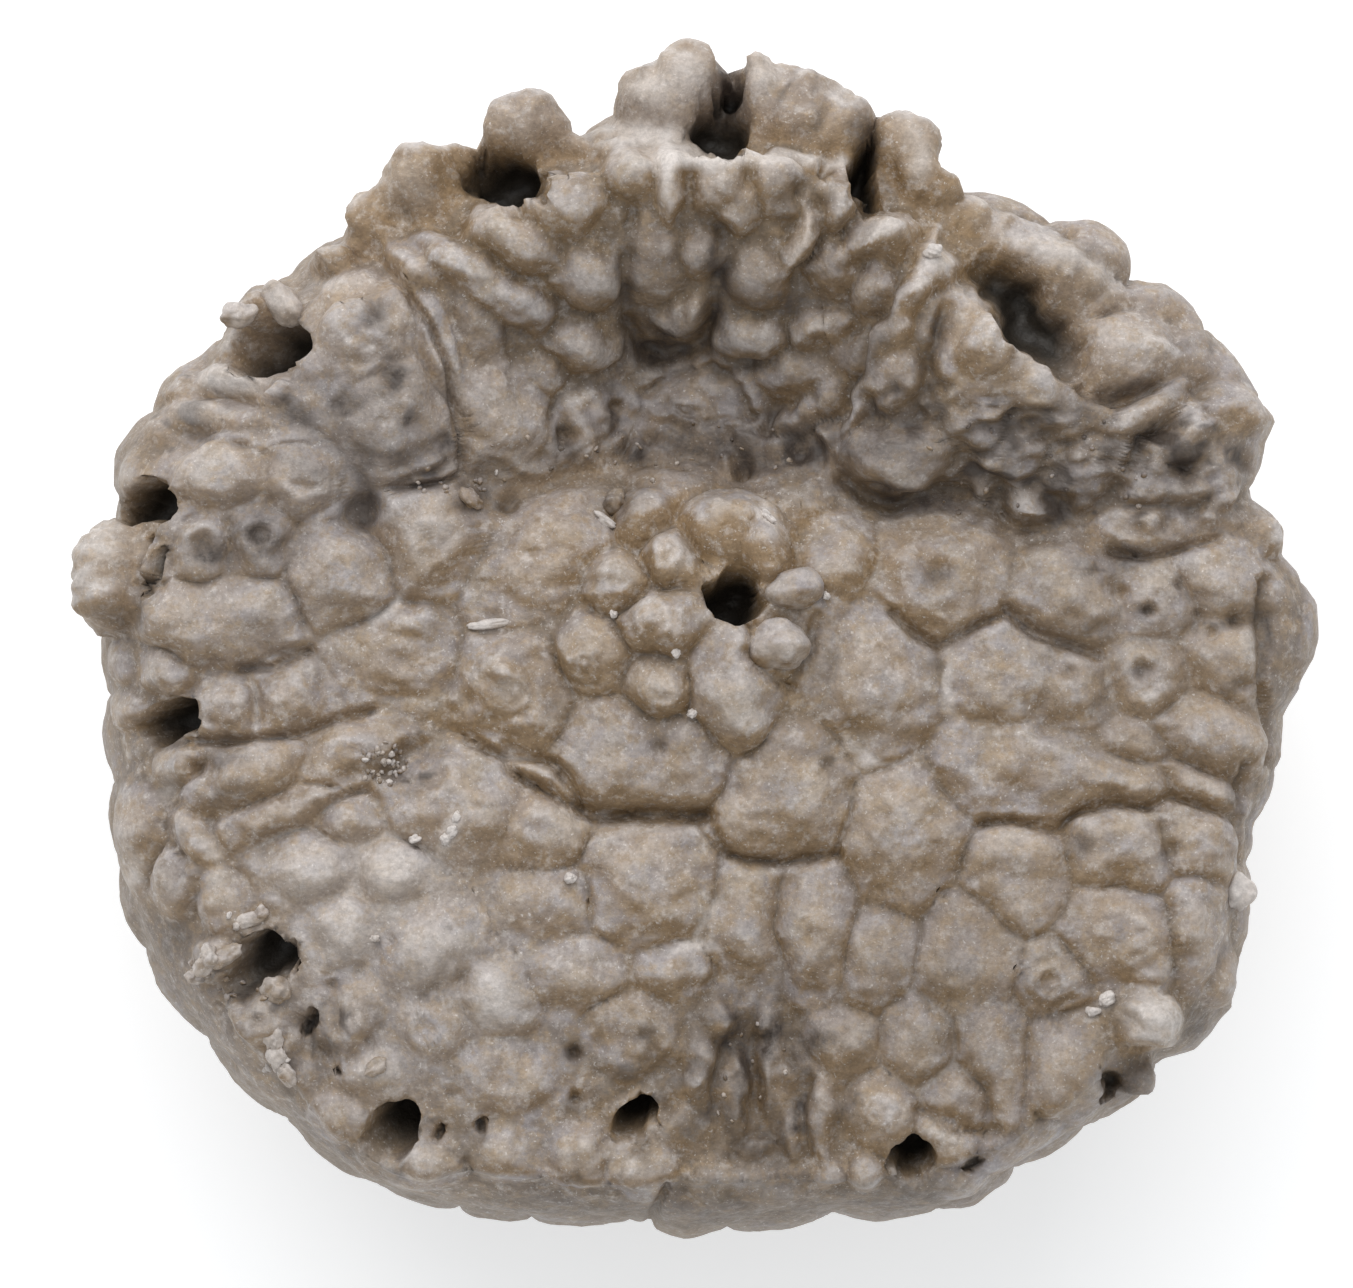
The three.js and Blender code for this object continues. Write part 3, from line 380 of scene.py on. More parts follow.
# Open seams and cracks: width, depth, then the points they run through
FURROWS = [
    # the long crack below the middle, and the wedge that has split off along it
    [0.16, 0.5, [-8.7, -4.2], [-7.3, -4.75], [-5.2, -4.9], [-4.5, -5.8], [-4.1, -6.7]],
    [0.16, 0.5, [-7, -5.2], [-6, -5.85], [-5, -6.5], [-4.1, -6.8]],
    [0.33, 1, [-4.1, -6.8], [-3.6, -7], [-0.5, -7.1], [0.8, -7.1]],
    [0.18, 0.5, [0.9, -7.1], [1.5, -8.4], [2.4, -8.9], [4.3, -8.9], [6.1, -8.6]],
    # round the large plate at the upper left
    [0.17, 0.6, [-11.2, 13.9], [-10.2, 12.4], [-9.5, 10.5], [-8.9, 8.2], [-8.9, 6.6], [-9.6, 6.2],
     [-11.6, 5.9]],
    # left
    [0.17, 0.5, [-20, -4.1], [-17.5, -4.1], [-15.6, -3.9], [-14, -3.3], [-12.5, -2.9]],
    [0.2, 0.6, [-17.7, -1.2], [-16.5, -1.2], [-15, -0.5]], [0.15, 0.4, [-14, -6.4], [-12.6, -6]],
    # right
    [0.2, 0.6, [11.8, -7.4], [13, -7.3], [14.7, -7.7], [15.5, -7], [17, -6.6], [18.3, -6.8]],
    [0.2, 0.5, [18.3, -6.8], [19.3, -6.3], [20.5, -6.6], [22, -7.2]],
    [0.2, 0.7, [22.9, 2.2], [22.9, -1.8], [23.3, -3.2], [23.2, -5]],
    [0.2, 0.5, [22.2, -5], [21.9, -7.3], [22.2, -9]],
    [0.2, 0.6, [8.3, 1], [9, 0.3], [10, -0.3], [11, 0.2], [12.5, 0.9]],
    [0.25, 0.8, [12.8, 1.1], [14, 0.2], [15.4, -0.3], [16.4, -0.7]],
    [0.33, 0.9, [6.2, 6.3], [7.2, 5.5], [8.4, 5.2], [10, 5.6], [11.2, 5.5]],
    [0.2, 0.6, [17, 3.5], [18.2, 3.2], [19.6, 3.5], [21.2, 3.9]],
    [0.2, 0.6, [17.6, 6.8], [18.1, 8], [19.2, 8.6]], [0.3, 0.9, [15.8, 9.9], [17.2, 9.4], [18.6, 9.9]],
    # between the knobs of the highest side
    [0.3, 0.3, [-2.2, 11.4], [-2.4, 14], [-2.1, 17]], [0.3, 0.3, [1.1, 12.4], [1.2, 14.4], [1.4, 16.2]],
    [0.35, 0.7, [-2.2, 12.5], [-1.7, 11.5], [-0.7, 11.1], [0.5, 11.6], [1.1, 12.6]],
    [0.3, 0.5, [9.4, 9.6], [9.8, 11.4], [10.2, 13]],
    # round the plates in the trough
    [0.26, 0.45, [-1.6, 9.9], [-0.5, 10.7], [1.1, 10.9], [2.2, 10.2], [2.7, 8.9]],
    [0.24, 0.35, [1.3, 7.2], [-0.2, 7.1], [-1.5, 7.8]],
    [0.22, 0.3, [-5.5, 8.9], [-5, 9.8], [-3.9, 10.3], [-2.9, 10.1]],
    # beside the knobs of the anal opening
    [0.22, 0.5, [2.6, 0.5], [2.5, -0.6], [3.2, -1.4], [4.2, -2]],
    [0.2, 0.4, [4.3, -1.6], [4.9, -0.6], [5.2, 0.8]],
    # the wall below the front margin
    [0.2, 0.6, [-0.8, -21.8], [-1.4, -23.4]], [0.15, 0.4, [9.2, -18.7], [10.5, -19.6], [12, -19.7]],
]

# Where plates have run together: x, y, half length, half width, turn, how far
MELTED = [
    [-10.5, -13.5, 7.5, 4.6, -25, 0.62], [-5.5, -18.5, 5.5, 3.4, 0, 0.7], [-17.5, 5.4, 4.6, 3, 10, 0.75],
    [-12.4, -3, 3.5, 2.6, 20, 0.6], [-12.4, 10.5, 3, 3.6, 0, 0.4], [3, -15.5, 3.5, 3.5, 0, 0.5],
    [-8.5, 3.5, 2.6, 2, 30, 0.4], [8, -1, 2.4, 3, 0, 0.3], [15, -3, 2.6, 2, 0, 0.4],
]

PLATE_DEPTH = 2.2  # half depth of a plate in the stone, for its half length
PLATE_ENDS = (1.05, 1.5)  # plate distances between which the relief fades out where no plate lies
MELTED_ENDS = (0.7, 1.2)  # shares of the way to the edge between which a melted place fades out
BRIM_WIDTH = 0.28  # of the slope down to the seam
BRIM_SHARE = 0.26  # share of a plate's height that its brim has, the rest being its dome
DIMPLE_SIZE = 0.4  # of a plate's half length
UNEVEN_PLATE = (0.3, 1.2)  # how unevenly round a plate is, and over what length
OUTLINE_SHARE = 0.3  # share of a plate's dome that follows its outline, the rest being round
MELTED_LINE = (0.1, 0.09)  # depth and width of the line at the edge of a plate that has melted
GROOVE_WIDTH = 0.12  # of the fine groove along a seam
GROOVE_DEPTHS = (0.02, 0.15)  # least depth of that groove, and how much more it can be
SEAM_DRIFT = [(0.26, 1.9), (0.11, 0.8)]  # how far the seams wander, and over what length
SNAP_REACH = 0.5  # share of a vertex's shortest edge within which it moves on to a line
SQUEEZED = 0.12  # share of its size below which a triangle counts as flat
SNAP_ROUNDS, EVEN_ROUNDS, MEND_ROUNDS = 2, 4, 3
EVEN_SHARE = 0.6  # share of the way that the vertices between the lines go in each round
CALMING = 10  # rounds of blurring for the directions in which the relief stands out
FAR = 9.0  # any distance well away from what is looked for
NOISE_CELLS = 64
GRAIN = np.random.default_rng(7).uniform(-1, 1, (3, NOISE_CELLS, NOISE_CELLS, NOISE_CELLS))


def noise(points, size, layer=0):
    """Smooth noise between -1 and 1: random values at the corners of cubes of that size, blended with the
    weight 3t² - 2t³ along each axis."""
    cell = np.floor(points / size).astype(int)
    x, y, z = (points / size - cell).T
    x, y, z = (t * t * (3 - 2 * t) for t in (x, y, z))
    total = 0
    for corner in np.ndindex(2, 2, 2):
        i, j, k = ((cell + corner) % NOISE_CELLS).T
        weight = (x if corner[0] else 1 - x) * (y if corner[1] else 1 - y) * (z if corner[2] else 1 - z)
        total = total + weight * GRAIN[layer][i, j, k]
    return total


def drift(points, far, size):
    """An offset for each point, by noise of that size: as far as that along each axis."""
    return far * np.stack([noise(points, size, k) for k in range(3)], 1)


def chance(angle):
    """A number from 0 to 1 that looks random: digits from far behind the point of the angle's sine."""
    return np.sin(angle) * 43758.5453 % 1


def plate_table():
    """Every plate part as a row: centre, half lengths along its three axes, cosine and sine of its turn,
    size, height, dimple, and the number of its plate. The plates of the bowl stand in staggered rings, each
    a little out of its place by waves that never fall in step. The parts of one plate share the mean of
    their sizes."""
    rows = []
    number = 0
    for x, y, long, wide, turn, height, dimple, *joined in PLATES:
        place = upper_side(np.array([math.hypot(x, y)]), np.array([math.atan2(y, x)]))[0]
        turn = math.radians(turn)
        number += not joined
        rows.append([
            *place, long, wide, PLATE_DEPTH * max(long, wide), math.cos(turn), math.sin(turn),
            math.sqrt(long * wide), height, dimple, number,
        ])
    for ring, (count, share, radius, height) in enumerate(BOWL_RINGS):
        i = np.arange(count)
        angle = (i + 0.5 * (ring % 2) + 0.16 * np.sin(7.3 * i + 2.9 * ring)) / count * math.tau
        place = bowl(share + 0.01 * np.sin(4.7 * i + ring), angle)
        size = radius * (1 + 0.1 * np.sin(5.1 * i + 1.7 * ring))
        same = np.ones(count)
        rows += list(np.stack([
            *place.T, size, size, size, same, 0 * same, size, height * same, 0 * same, number + 1 + i,
        ], 1))
        number += count
    rows = np.array(rows)
    number = rows[:, 11].astype(int)
    size = np.bincount(number, rows[:, 8]) / np.maximum(1, np.bincount(number))
    rows[:, 8] = size[number]
    return rows


def in_plate_axes(points, plate):
    """The offset of each point from the plate's centre, along, across and below it, in its half lengths. The
    plate is one row, or a row for each point."""
    x, y, z, long, wide, thick, cosine, sine = plate.T[:8]
    dx, dy, dz = (points - np.stack([x, y, z], -1)).T
    return (dx * cosine + dy * sine) / long, (dy * cosine - dx * sine) / wide, dz / thick


def plate_distance(points, plate):
    """How far across a plate each point is, 0 in its middle and 1 at its own edge: the length of the vector
    to it, with each part measured in that half length."""
    along, across, down = in_plate_axes(points, plate)
    return np.sqrt(along**2 + across**2 + down**2) + 1e-9


def pavement(points, plates):
    """The plate part that each point lies on, the nearest part of another plate, and both distances, by
    plate_distance. Parts of one plate have the same number in the last column and follow each other."""
    first = np.zeros(len(points), int)
    second = np.zeros(len(points), int)
    near = np.full(len(points), np.inf)
    next_near = near.copy()
    number = plates[:, 11]
    for k, plate in enumerate(plates):
        distance = plate_distance(points, plate)
        same = number[first] == number[k]
        nearest = distance < near
        runner_up = ~nearest & ~same & (distance < next_near)
        pushed = nearest & ~same
        second = np.where(pushed, first, np.where(runner_up, k, second))
        next_near = np.where(pushed, near, np.where(runner_up, distance, next_near))
        first = np.where(nearest, k, first)
        near = np.where(nearest, distance, near)
    return first, second, near, next_near


def seam_distance(plates, first, second, near, next_near):
    """Roughly the distance to the seam: the difference of the two plate distances, over the sum of the rates
    at which they grow."""
    return (next_near - near) / (1 / plates[first, 8] + 1 / plates[second, 8])


def growth(points, chosen):
    """The direction and rate in which the distance from each point's chosen plate grows: the gradient of
    plate_distance."""
    along, across, down = in_plate_axes(points, chosen)
    length = np.sqrt(along**2 + across**2 + down**2) + 1e-9
    along, across, down = along / chosen[:, 3], across / chosen[:, 4], down / chosen[:, 5]
    x = along * chosen[:, 6] - across * chosen[:, 7]
    y = along * chosen[:, 7] + across * chosen[:, 6]
    return np.stack([x, y, down], 1) / length[:, None]


def strayed(points):
    """Where the points look up their plates: moved by two sizes of noise, so that the seams wander."""
    (far, size), (less_far, smaller) = SEAM_DRIFT
    return points + drift(points, far, size) + drift(points + 30, less_far, smaller)


def edge_lengths(points, corners):
    """Each vertex's shortest edge."""
    ends = corners[:, [0, 1, 1, 2, 2, 0]].reshape(-1, 2)
    length = np.linalg.norm(points[ends[:, 0]] - points[ends[:, 1]], axis=1)
    shortest = np.full(len(points), np.inf)
    np.minimum.at(shortest, ends.ravel(), np.repeat(length, 2))
    return shortest


def snapped(points, normals, reach, plates):
    """The points, with those nearer to a seam than their reach moved on to it along the surface, so that
    rows of edges follow the seams. Each moves by its seam distance over the slope of that distance."""
    places = strayed(points)
    first, second, near, next_near = pavement(places, plates)
    away = seam_distance(plates, first, second, near, next_near)
    rate = growth(places, plates[second]) - growth(places, plates[first])
    rate /= (1 / plates[first, 8] + 1 / plates[second, 8])[:, None]
    rate -= (rate * normals).sum(1, keepdims=True) * normals
    steep = (rate**2).sum(1)
    close = away / np.sqrt(steep) < reach
    return points - (close * away / steep)[:, None] * rate


def furrows(points):
    """For each point: the depth of the grooves there, a bell shape of the distance to each line and the
    deepest of them all, and the offset from the nearest line's nearest point."""
    depth, nearest = np.zeros(len(points)), np.full((len(points), 2), FAR)
    for width, deep, *stops in FURROWS:
        for start, end in zip(np.array(stops[:-1], float), np.array(stops[1:], float)):
            run = end - start
            along = np.clip((points[:, :2] - start) @ run / (run @ run), 0, 1)
            offset = points[:, :2] - start - along[:, None] * run
            away = np.linalg.norm(offset, axis=1)
            depth = np.maximum(depth, deep * np.exp(-((away / width) ** 2)))
            nearest = np.where((away < np.linalg.norm(nearest, axis=1))[:, None], offset, nearest)
    return depth, nearest


def inside(points, row):
    """How far across an ellipse (x, y, half length, half width, turn) each point is, seen from above: 0 in
    its middle, 1 at its edge."""
    x, y, long, wide, turn = row[:5]
    turn = math.radians(turn)
    dx, dy = points[:, 0] - x, points[:, 1] - y
    along = dx * math.cos(turn) + dy * math.sin(turn)
    across = dy * math.cos(turn) - dx * math.sin(turn)
    return np.hypot(along / long, across / wide)


def patchwork(points, rows, full, gone):
    """The highest over all rows of an ellipse's last value, which holds as far as full of the way to its
    edge and fades out at gone."""
    return np.max([row[5] * (1 - smooth(full, gone, inside(points, row))) for row in rows], axis=0)


# The bare form's vertices are first slid along it on to seams and furrows, and those between are evened out.
# Where that has squeezed a triangle nearly flat, its vertices go back.
plates = plate_table()
reach = SNAP_REACH * edge_lengths(plain, corners)
bare = plain
for _ in range(SNAP_ROUNDS):
    bare = snapped(bare, form_normals, reach, plates)
beside = furrows(bare)[1]
on_line = above & (np.linalg.norm(beside, axis=1) < reach)
bare[:, :2] -= beside * on_line[:, None]
on_line |= np.linalg.norm(bare - plain, axis=1) > 1e-6
for _ in range(EVEN_ROUNDS):
    shift = evened(bare, corners, EVEN_SHARE * (above & ~on_line), 1) - bare
    bare = bare + shift - (shift * form_normals).sum(1, keepdims=True) * form_normals
for _ in range(MEND_ROUNDS):
    turned, upright = face_crosses(bare, corners), face_crosses(plain, corners)
    squeezed = (turned * upright).sum(1) < SQUEEZED * (upright**2).sum(1)
    bare[corners[squeezed]] = plain[corners[squeezed]]
normals = calmed(vertex_normals(bare, corners), corners, CALMING)

# Each plate is a dome on a low brim, and each pair of plates has a groove of its own depth between them.
# Where plates have run together they are flatter, with only a shallow line at their edges.
first, second, near, next_near = pavement(strayed(bare), plates)
seam = seam_distance(plates, first, second, near, next_near)
size, height, dimple = plates[first, 8:11].T
covered = 1 - smooth(*PLATE_ENDS, near)
melted = np.where(above, patchwork(bare, MELTED, *MELTED_ENDS), 0)
uneven_plate = 1 + UNEVEN_PLATE[0] * noise(bare, UNEVEN_PLATE[1], 2)
across_plate = near / uneven_plate
brim = 1 - (1 - np.clip(seam / BRIM_WIDTH, 0, 1)) ** 2
round_top = 1 - smooth(0.1 + 0.3 * melted, 1.2 - 0.2 * melted, across_plate)
outline_share = OUTLINE_SHARE * (1 - melted)
dome = outline_share * smooth(0.0, 0.6, seam / size * uneven_plate) + (1 - outline_share) * round_top
relief = height * (BRIM_SHARE * (1 - melted) * brim + (1 - BRIM_SHARE) * dome)
relief -= dimple * np.exp(-((near / DIMPLE_SIZE) ** 2))
relief -= MELTED_LINE[0] * melted * np.exp(-(((across_plate - 1) / MELTED_LINE[1]) ** 2))
pair = chance(12.9898 * (first + second) + 4.1 * first * second) ** 2
groove = GROOVE_DEPTHS[0] + GROOVE_DEPTHS[1] * pair
relief -= (1 - melted) * groove * np.exp(-((seam / GROOVE_WIDTH) ** 2))
relief *= covered

# ---------------------------------------------------------------------------------------------------------
# Tubercles and wear: knobs of the same stone that rise without a seam, most of them on the slope below the
# highest side, patches where the plates have crumbled, and small knobs, pock marks, pits and growth lines.
# All of it has grown on the plates or has been weathered out of them.

# Tubercles: x, y, half length, half width, turn, height
TUBERCLES = [
    # round the anal opening
    [-0.5, 6.2, 1.6, 0.7, 0, 0.5], [4.6, 5.3, 1.2, 0.9, 0, 0.3], [-10.9, 0.4, 1.1, 0.9, 0, 0.8],
    # at the foot of the front margin
    [3.5, -16.7, 0.6, 2.5, 4, 0.8], [1.9, -18.2, 0.6, 1.6, 0, 0.7], [0.5, -17.3, 0.6, 1.6, 0, 0.7],
    [5.6, -21.3, 0.7, 0.7, 0, 0.5], [7, -21.2, 0.7, 0.8, 0, 0.7], [5.3, -19, 0.6, 1.7, 0, 0.7],
    [4.2, -19.4, 0.45, 1.2, 0, 0.6], [2.8, -20.2, 0.8, 0.5, 10, 0.5], [1.3, -15.2, 0.6, 0.9, 30, 0.6],
    [2.3, -21.6, 2.4, 0.9, 0, 0.4], [0, -19.6, 1, 1, 0, 0.3],
    # the inner slope towards the highest side
    [-7.6, 9, 1.2, 2, 10, 1], [-8.2, 12.4, 0.8, 1.6, 20, 0.5], [-5.3, 7.6, 1.1, 1, 0, 0.5],
    [-4.6, 17.2, 1.5, 1.2, 15, 1], [-5.8, 17.1, 0.6, 0.6, 0, 0.8], [-8, 16.6, 0.9, 0.6, 20, 0.8],
    [-6.8, 15.8, 1.9, 0.9, -25, 1], [-8.8, 14.6, 2.6, 0.8, -35, 0.9], [-3.8, 14.3, 1.2, 1.2, 0, 1.1],
    [-6.7, 13.4, 1.4, 0.9, -20, 1], [-4.2, 11.8, 1.4, 0.9, 0, 1], [-2.2, 18.3, 1, 0.9, 0, 0.8],
    [-2.7, 19.3, 1.1, 0.35, 0, 0.6], [-0.7, 19.1, 0.9, 0.3, 5, 0.6], [1.5, 18.8, 1.6, 0.32, 0, 0.8],
    [4.2, 18.9, 1.3, 0.32, 5, 0.8], [6.2, 19, 0.6, 0.4, 0, 0.6], [-0.7, 17.8, 0.5, 1.7, 0, 1],
    [1.2, 17.8, 0.9, 1, 0, 0.9], [2.1, 17, 0.8, 0.9, 0, 0.8], [-1.4, 15, 1.2, 1.5, 0, 0.7],
    [0.7, 15.2, 0.8, 0.9, 0, 0.8], [-0.2, 13, 1.1, 0.8, 20, 1.2], [2.9, 14.5, 1.3, 1.1, 0, 1],
    [4.4, 15.7, 0.5, 1.9, -22, 1.1], [3.6, 17.8, 1, 1, 0, 0.8], [2.5, 12.1, 1.6, 0.8, 0, 1.2],
    [5.4, 12.5, 1.1, 0.9, 0, 1.1], [5.8, 14.8, 0.9, 1.2, 0, 0.9], [6, 17.6, 0.7, 1.3, 0, 1],
    [7.7, 15.9, 1.4, 0.9, 10, 1.2], [7.4, 13.9, 0.9, 1, 0, 0.9], [7.3, 9.8, 2.9, 0.28, 59, 0.6],
    [4.5, 10.6, 1.6, 1, 15, 0.8], [-6.3, 6.9, 0.9, 0.7, 0, 0.6], [-4, 7.1, 0.6, 0.5, 0, 0.6],
    [-3, 7.9, 0.7, 0.5, 20, 0.7], [-1.7, 7.7, 0.5, 0.6, 0, 0.6], [0, 7.3, 0.7, 0.5, 0, 0.6],
    [1.3, 7.2, 0.7, 0.5, 0, 0.7], [2.7, 7.9, 0.7, 0.6, 0, 0.8], [3.6, 7.7, 0.6, 0.5, 0, 0.6],
    [4.5, 8.9, 1, 0.6, 25, 0.9], [5.7, 8.3, 0.7, 0.6, 0, 0.7], [5.7, 9.8, 0.8, 0.7, 0, 0.7],
    [-6.9, 10.2, 0.5, 0.5, 0, 0.5], [-7.7, 10.9, 0.6, 0.6, 0, 0.5], [-2.4, 9.3, 0.6, 1, 0, 0.5],
    [-4, 9.5, 1.1, 0.9, 0, 0.6], [-5.7, 10.6, 0.9, 0.8, 0, 0.5], [6.7, 11.2, 0.8, 0.9, 0, 0.6],
    # the highest side's right end, and the crumbled slope below it
    [8.8, 13.2, 3.4, 0.5, 66, 0.9], [9.9, 14.6, 0.8, 0.8, 0, 0.8], [8.3, 10.4, 0.9, 1.1, 0, 0.7],
    [11.8, 11.5, 1.3, 1.2, 0, 1.6], [11.4, 8.4, 1.2, 0.9, 0, 0.8], [8.3, 7.4, 2.1, 1.2, 0, 1.5],
    [13, 7.2, 1.2, 1, 0, 0.8], [16.5, 15.4, 1.1, 1, 0, 0.7], [18.9, 13.4, 1.2, 0.8, -20, 0.7],
    [20.4, 11.5, 1.3, 1, -50, 0.6], [22, 9.2, 1.4, 0.8, -30, 0.7], [20.2, 8.2, 1.2, 1.1, 0, 0.8],
    [18.5, 6.1, 1.3, 0.9, 0, 0.7], [13.7, 5.3, 1, 0.7, -15, 0.7], [15.9, 6.2, 1.1, 0.9, 0, 0.6],
    [21.3, 6.1, 1.1, 1, 0, 0.6], [11.3, 17, 0.9, 0.7, -20, 0.7], [12.8, 16.6, 0.9, 0.6, -20, 0.6],
    # outer shoulder on the left
    [-21.5, 8.3, 1.4, 0.9, 40, 0.5], [-20.2, 10.1, 1, 0.9, 0, 0.6], [-18.6, 11.8, 1.3, 0.8, 45, 0.5],
    [-22.3, 6.6, 0.8, 0.9, 0, 0.6],
]

# Crumbled patches: x, y, half length, half width, turn, how rough
CRUMBS = [
    [14, 6.4, 4.4, 2.4, 10, 1], [19.6, 6.4, 3.4, 2.6, 0, 1], [3.4, 7.9, 3.8, 1.5, 0, 0.5],
    [-3, 8.2, 3.4, 1.7, 0, 0.3], [9, 9.2, 2.2, 1.4, 20, 0.7], [12.6, 8.6, 2.4, 1.2, 10, 0.9],
    [-9, 6.4, 3.6, 0.9, -8, 0.5], [3, -18, 2.6, 4, 0, 0.35], [-1.5, -17, 3, 2, 0, 0.4],
    [-10.7, -5.1, 1.6, 1.4, 0, 0.7], [-14.2, -16, 2.8, 1.6, 40, 0.6], [17, 2.9, 1.8, 0.8, 0, 0.5],
    [-20, 8.8, 2.4, 1.6, 30, 0.6], [-12.6, 9.8, 2.4, 2.6, 0, 0.2], [5.6, 16.6, 2.4, 2.6, 0, 0.3],
    [0.6, 11.1, 3, 0.6, 0, 0.6], [-19.6, -5.4, 3, 2.2, 20, 0.3], [14.8, 14.6, 3.6, 1.4, -35, 0.3],
    [20, 10.6, 2.6, 2, 0, 0.3], [-17.5, -13.6, 2.6, 2, 30, 0.6], [-11, -20.6, 3, 1.6, 0, 0.4],
    [-3.6, -20.6, 3, 1.2, 0, 0.4],
]

# Small knobs (+) and pock marks (-): x, y, radius, height
KNOBS = [
    [-7.1, -1.4, 0.7, 0.5], [9.8, 2.6, 0.7, -0.3], [18, -1.2, 0.45, -0.35], [-18.8, 3.4, 0.7, -0.25],
    [-16.8, 4.2, 0.7, -0.3], [-12.3, 12.9, 0.5, -0.35], [-11.8, 10.3, 0.5, -0.4], [-13.8, 9.2, 0.5, -0.4],
    [-11, 8.5, 0.6, -0.35], [-9.7, 7.8, 0.5, -0.35], [-1, -4.3, 0.4, -0.3], [5.6, -5, 0.4, -0.3],
    [15.2, -1.4, 0.4, -0.35], [19.3, -8.4, 0.4, -0.3], [-4.4, -18.3, 0.3, -0.6], [-4.4, -16.5, 0.35, -0.6],
    [12.4, -19.6, 0.35, -0.6], [14, -19, 0.35, -0.6], [21.9, 0.7, 0.45, -0.6], [18.4, 1.1, 0.35, -0.6],
    [-1.3, 19, 0.3, -0.5], [5.5, 18.4, 0.3, -0.5], [-22, 1.9, 0.3, -0.5], [-19.5, -5.2, 0.35, -0.5],
    [2.2, 6.8, 0.4, -0.6], [-0.4, -0.6, 0.2, 0.25], [0.2, -3, 0.2, 0.25], [-4.6, -9.5, 0.22, 0.3],
    [-2.8, 0.95, 0.2, 0.25], [5.5, 1.7, 0.2, 0.25], [-0.9, 11.4, 0.9, -0.3], [-12.9, 5.1, 1, -0.7],
    [-14.1, -13.8, 0.35, -0.4], [-11.7, -12, 0.3, -0.35], [-9, -13.6, 0.3, -0.3], [-12.6, -16, 0.3, -0.35],
    [-14.6, -16.4, 0.3, -0.3], [-13, -13.3, 0.25, -0.3], [-9.4, -18.2, 0.3, -0.3], [19.6, 2.1, 0.3, -0.5],
    [20.4, 0.9, 0.3, -0.5], [22.2, -1.9, 0.35, -0.5], [21, 0.2, 0.3, -0.4], [17.4, 1.8, 0.3, -0.4],
    [2.3, 6.9, 0.55, -0.7], [4.4, 7.4, 0.6, -0.6], [-4.9, 8.1, 0.5, -0.6], [-7, 5.4, 0.5, -0.5],
    [-3, 9.3, 0.4, -0.5], [19.9, 6.5, 0.6, -0.7], [13.7, 8.6, 0.5, -0.6], [15.2, 5.4, 0.5, -0.5],
]

# Growth lines, round and round on a plate: x, y, radius, how far apart
GROWTH_LINES = [
    [-1.2, 0.7, 1.4, 0.62], [-3.9, -0.9, 1.3, 0.6], [-7, -2, 1.9, 0.75], [14.4, -13.6, 1.4, 0.65],
    [-0.6, 3.1, 1, 0.6], [-0.8, -1.9, 1.1, 0.6], [-10.4, -15.6, 1.4, 0.65], [0, 9.1, 1.8, 0.8],
    [7.8, -18.6, 1.1, 0.6], [-12.6, 11.2, 1.2, 0.7],
]

TUBERCLE_FOOT = 1.2  # how far out a tubercle's foot reaches, in its half lengths
TUBERCLE_ROUND = 2.2  # power of its profile: 2 is a parabola, more is flatter on top
STEEP, LEVEL = 0.15, 0.5  # upward parts of the normal between which tubercles and crumbs fade in
WAVES = [(0.3, 1.1), (0.12, 0.55)]  # how far the outlines of tubercles and crumbs wander, over what length
LARGE_CRUMBS, SMALL_CRUMBS = 1.6, 0.85  # sizes
CRUMB_ENDS = (0.6, 1.15)  # shares of the way to a patch's edge between which it fades out
GRIT = [(0.2, 1.9, 1), (0.12, 0.85, 2), (0.08, 0.42, 0)]  # the stone's own unevenness: height, size, layer
PIT_DEPTHS = (0.1, 0.16)  # of the pits, and how much deeper they are in melted places
GROWTH_HEIGHT = 0.07  # of growth lines
GROWTH_TAN = 0.5  # how strongly tan the troughs of growth lines are


def broken(points, size, layer=0):
    """Irregular crumbs of about that size, seen from above: how far each point is from its crumb's edge, the
    difference of the distances to the two nearest points of a jittered grid, and the crumb's own number."""
    flat = points[:, :2] / size
    cell = np.floor(flat).astype(int)
    near = np.full(len(flat), np.inf)
    next_near, number = near.copy(), np.zeros(len(flat))
    for corner in np.ndindex(3, 3):
        i, j = ((cell + corner) % NOISE_CELLS).T
        middle = cell + corner - 0.5 + 0.45 * np.stack([GRAIN[0][i, j, layer], GRAIN[1][i, j, layer]], 1)
        distance = np.linalg.norm(flat - middle, axis=1)
        number = np.where(distance < near, GRAIN[2][i, j, layer], number)
        next_near = np.minimum(next_near, np.maximum(near, distance))
        near = np.minimum(near, distance)
    return (next_near - near) * size, number


def unevenness(points, grit):
    """Noise of several sizes, added up."""
    return sum(high * noise(points, size, layer) for high, size, layer in grit)


# Wherever two tubercles run together, the higher one shows. Furrows are cut through them and the plates.
wavy = bare + drift(bare, *WAVES[0]) + drift(bare, *WAVES[1])
knob = np.zeros(len(bare))
for row in TUBERCLES:
    profile = 1 - (inside(wavy, row) / TUBERCLE_FOOT) ** TUBERCLE_ROUND
    knob = np.maximum(knob, row[5] * np.maximum(0, profile))
level_ground = smooth(STEEP, LEVEL, normals[:, 2])
knob *= level_ground
relief = np.where(above, np.maximum(relief, knob), relief)
groove, beside = furrows(bare)
relief -= np.where(above, groove, 0)
seam = np.where(above, np.minimum(seam, np.linalg.norm(beside, axis=1)), seam)

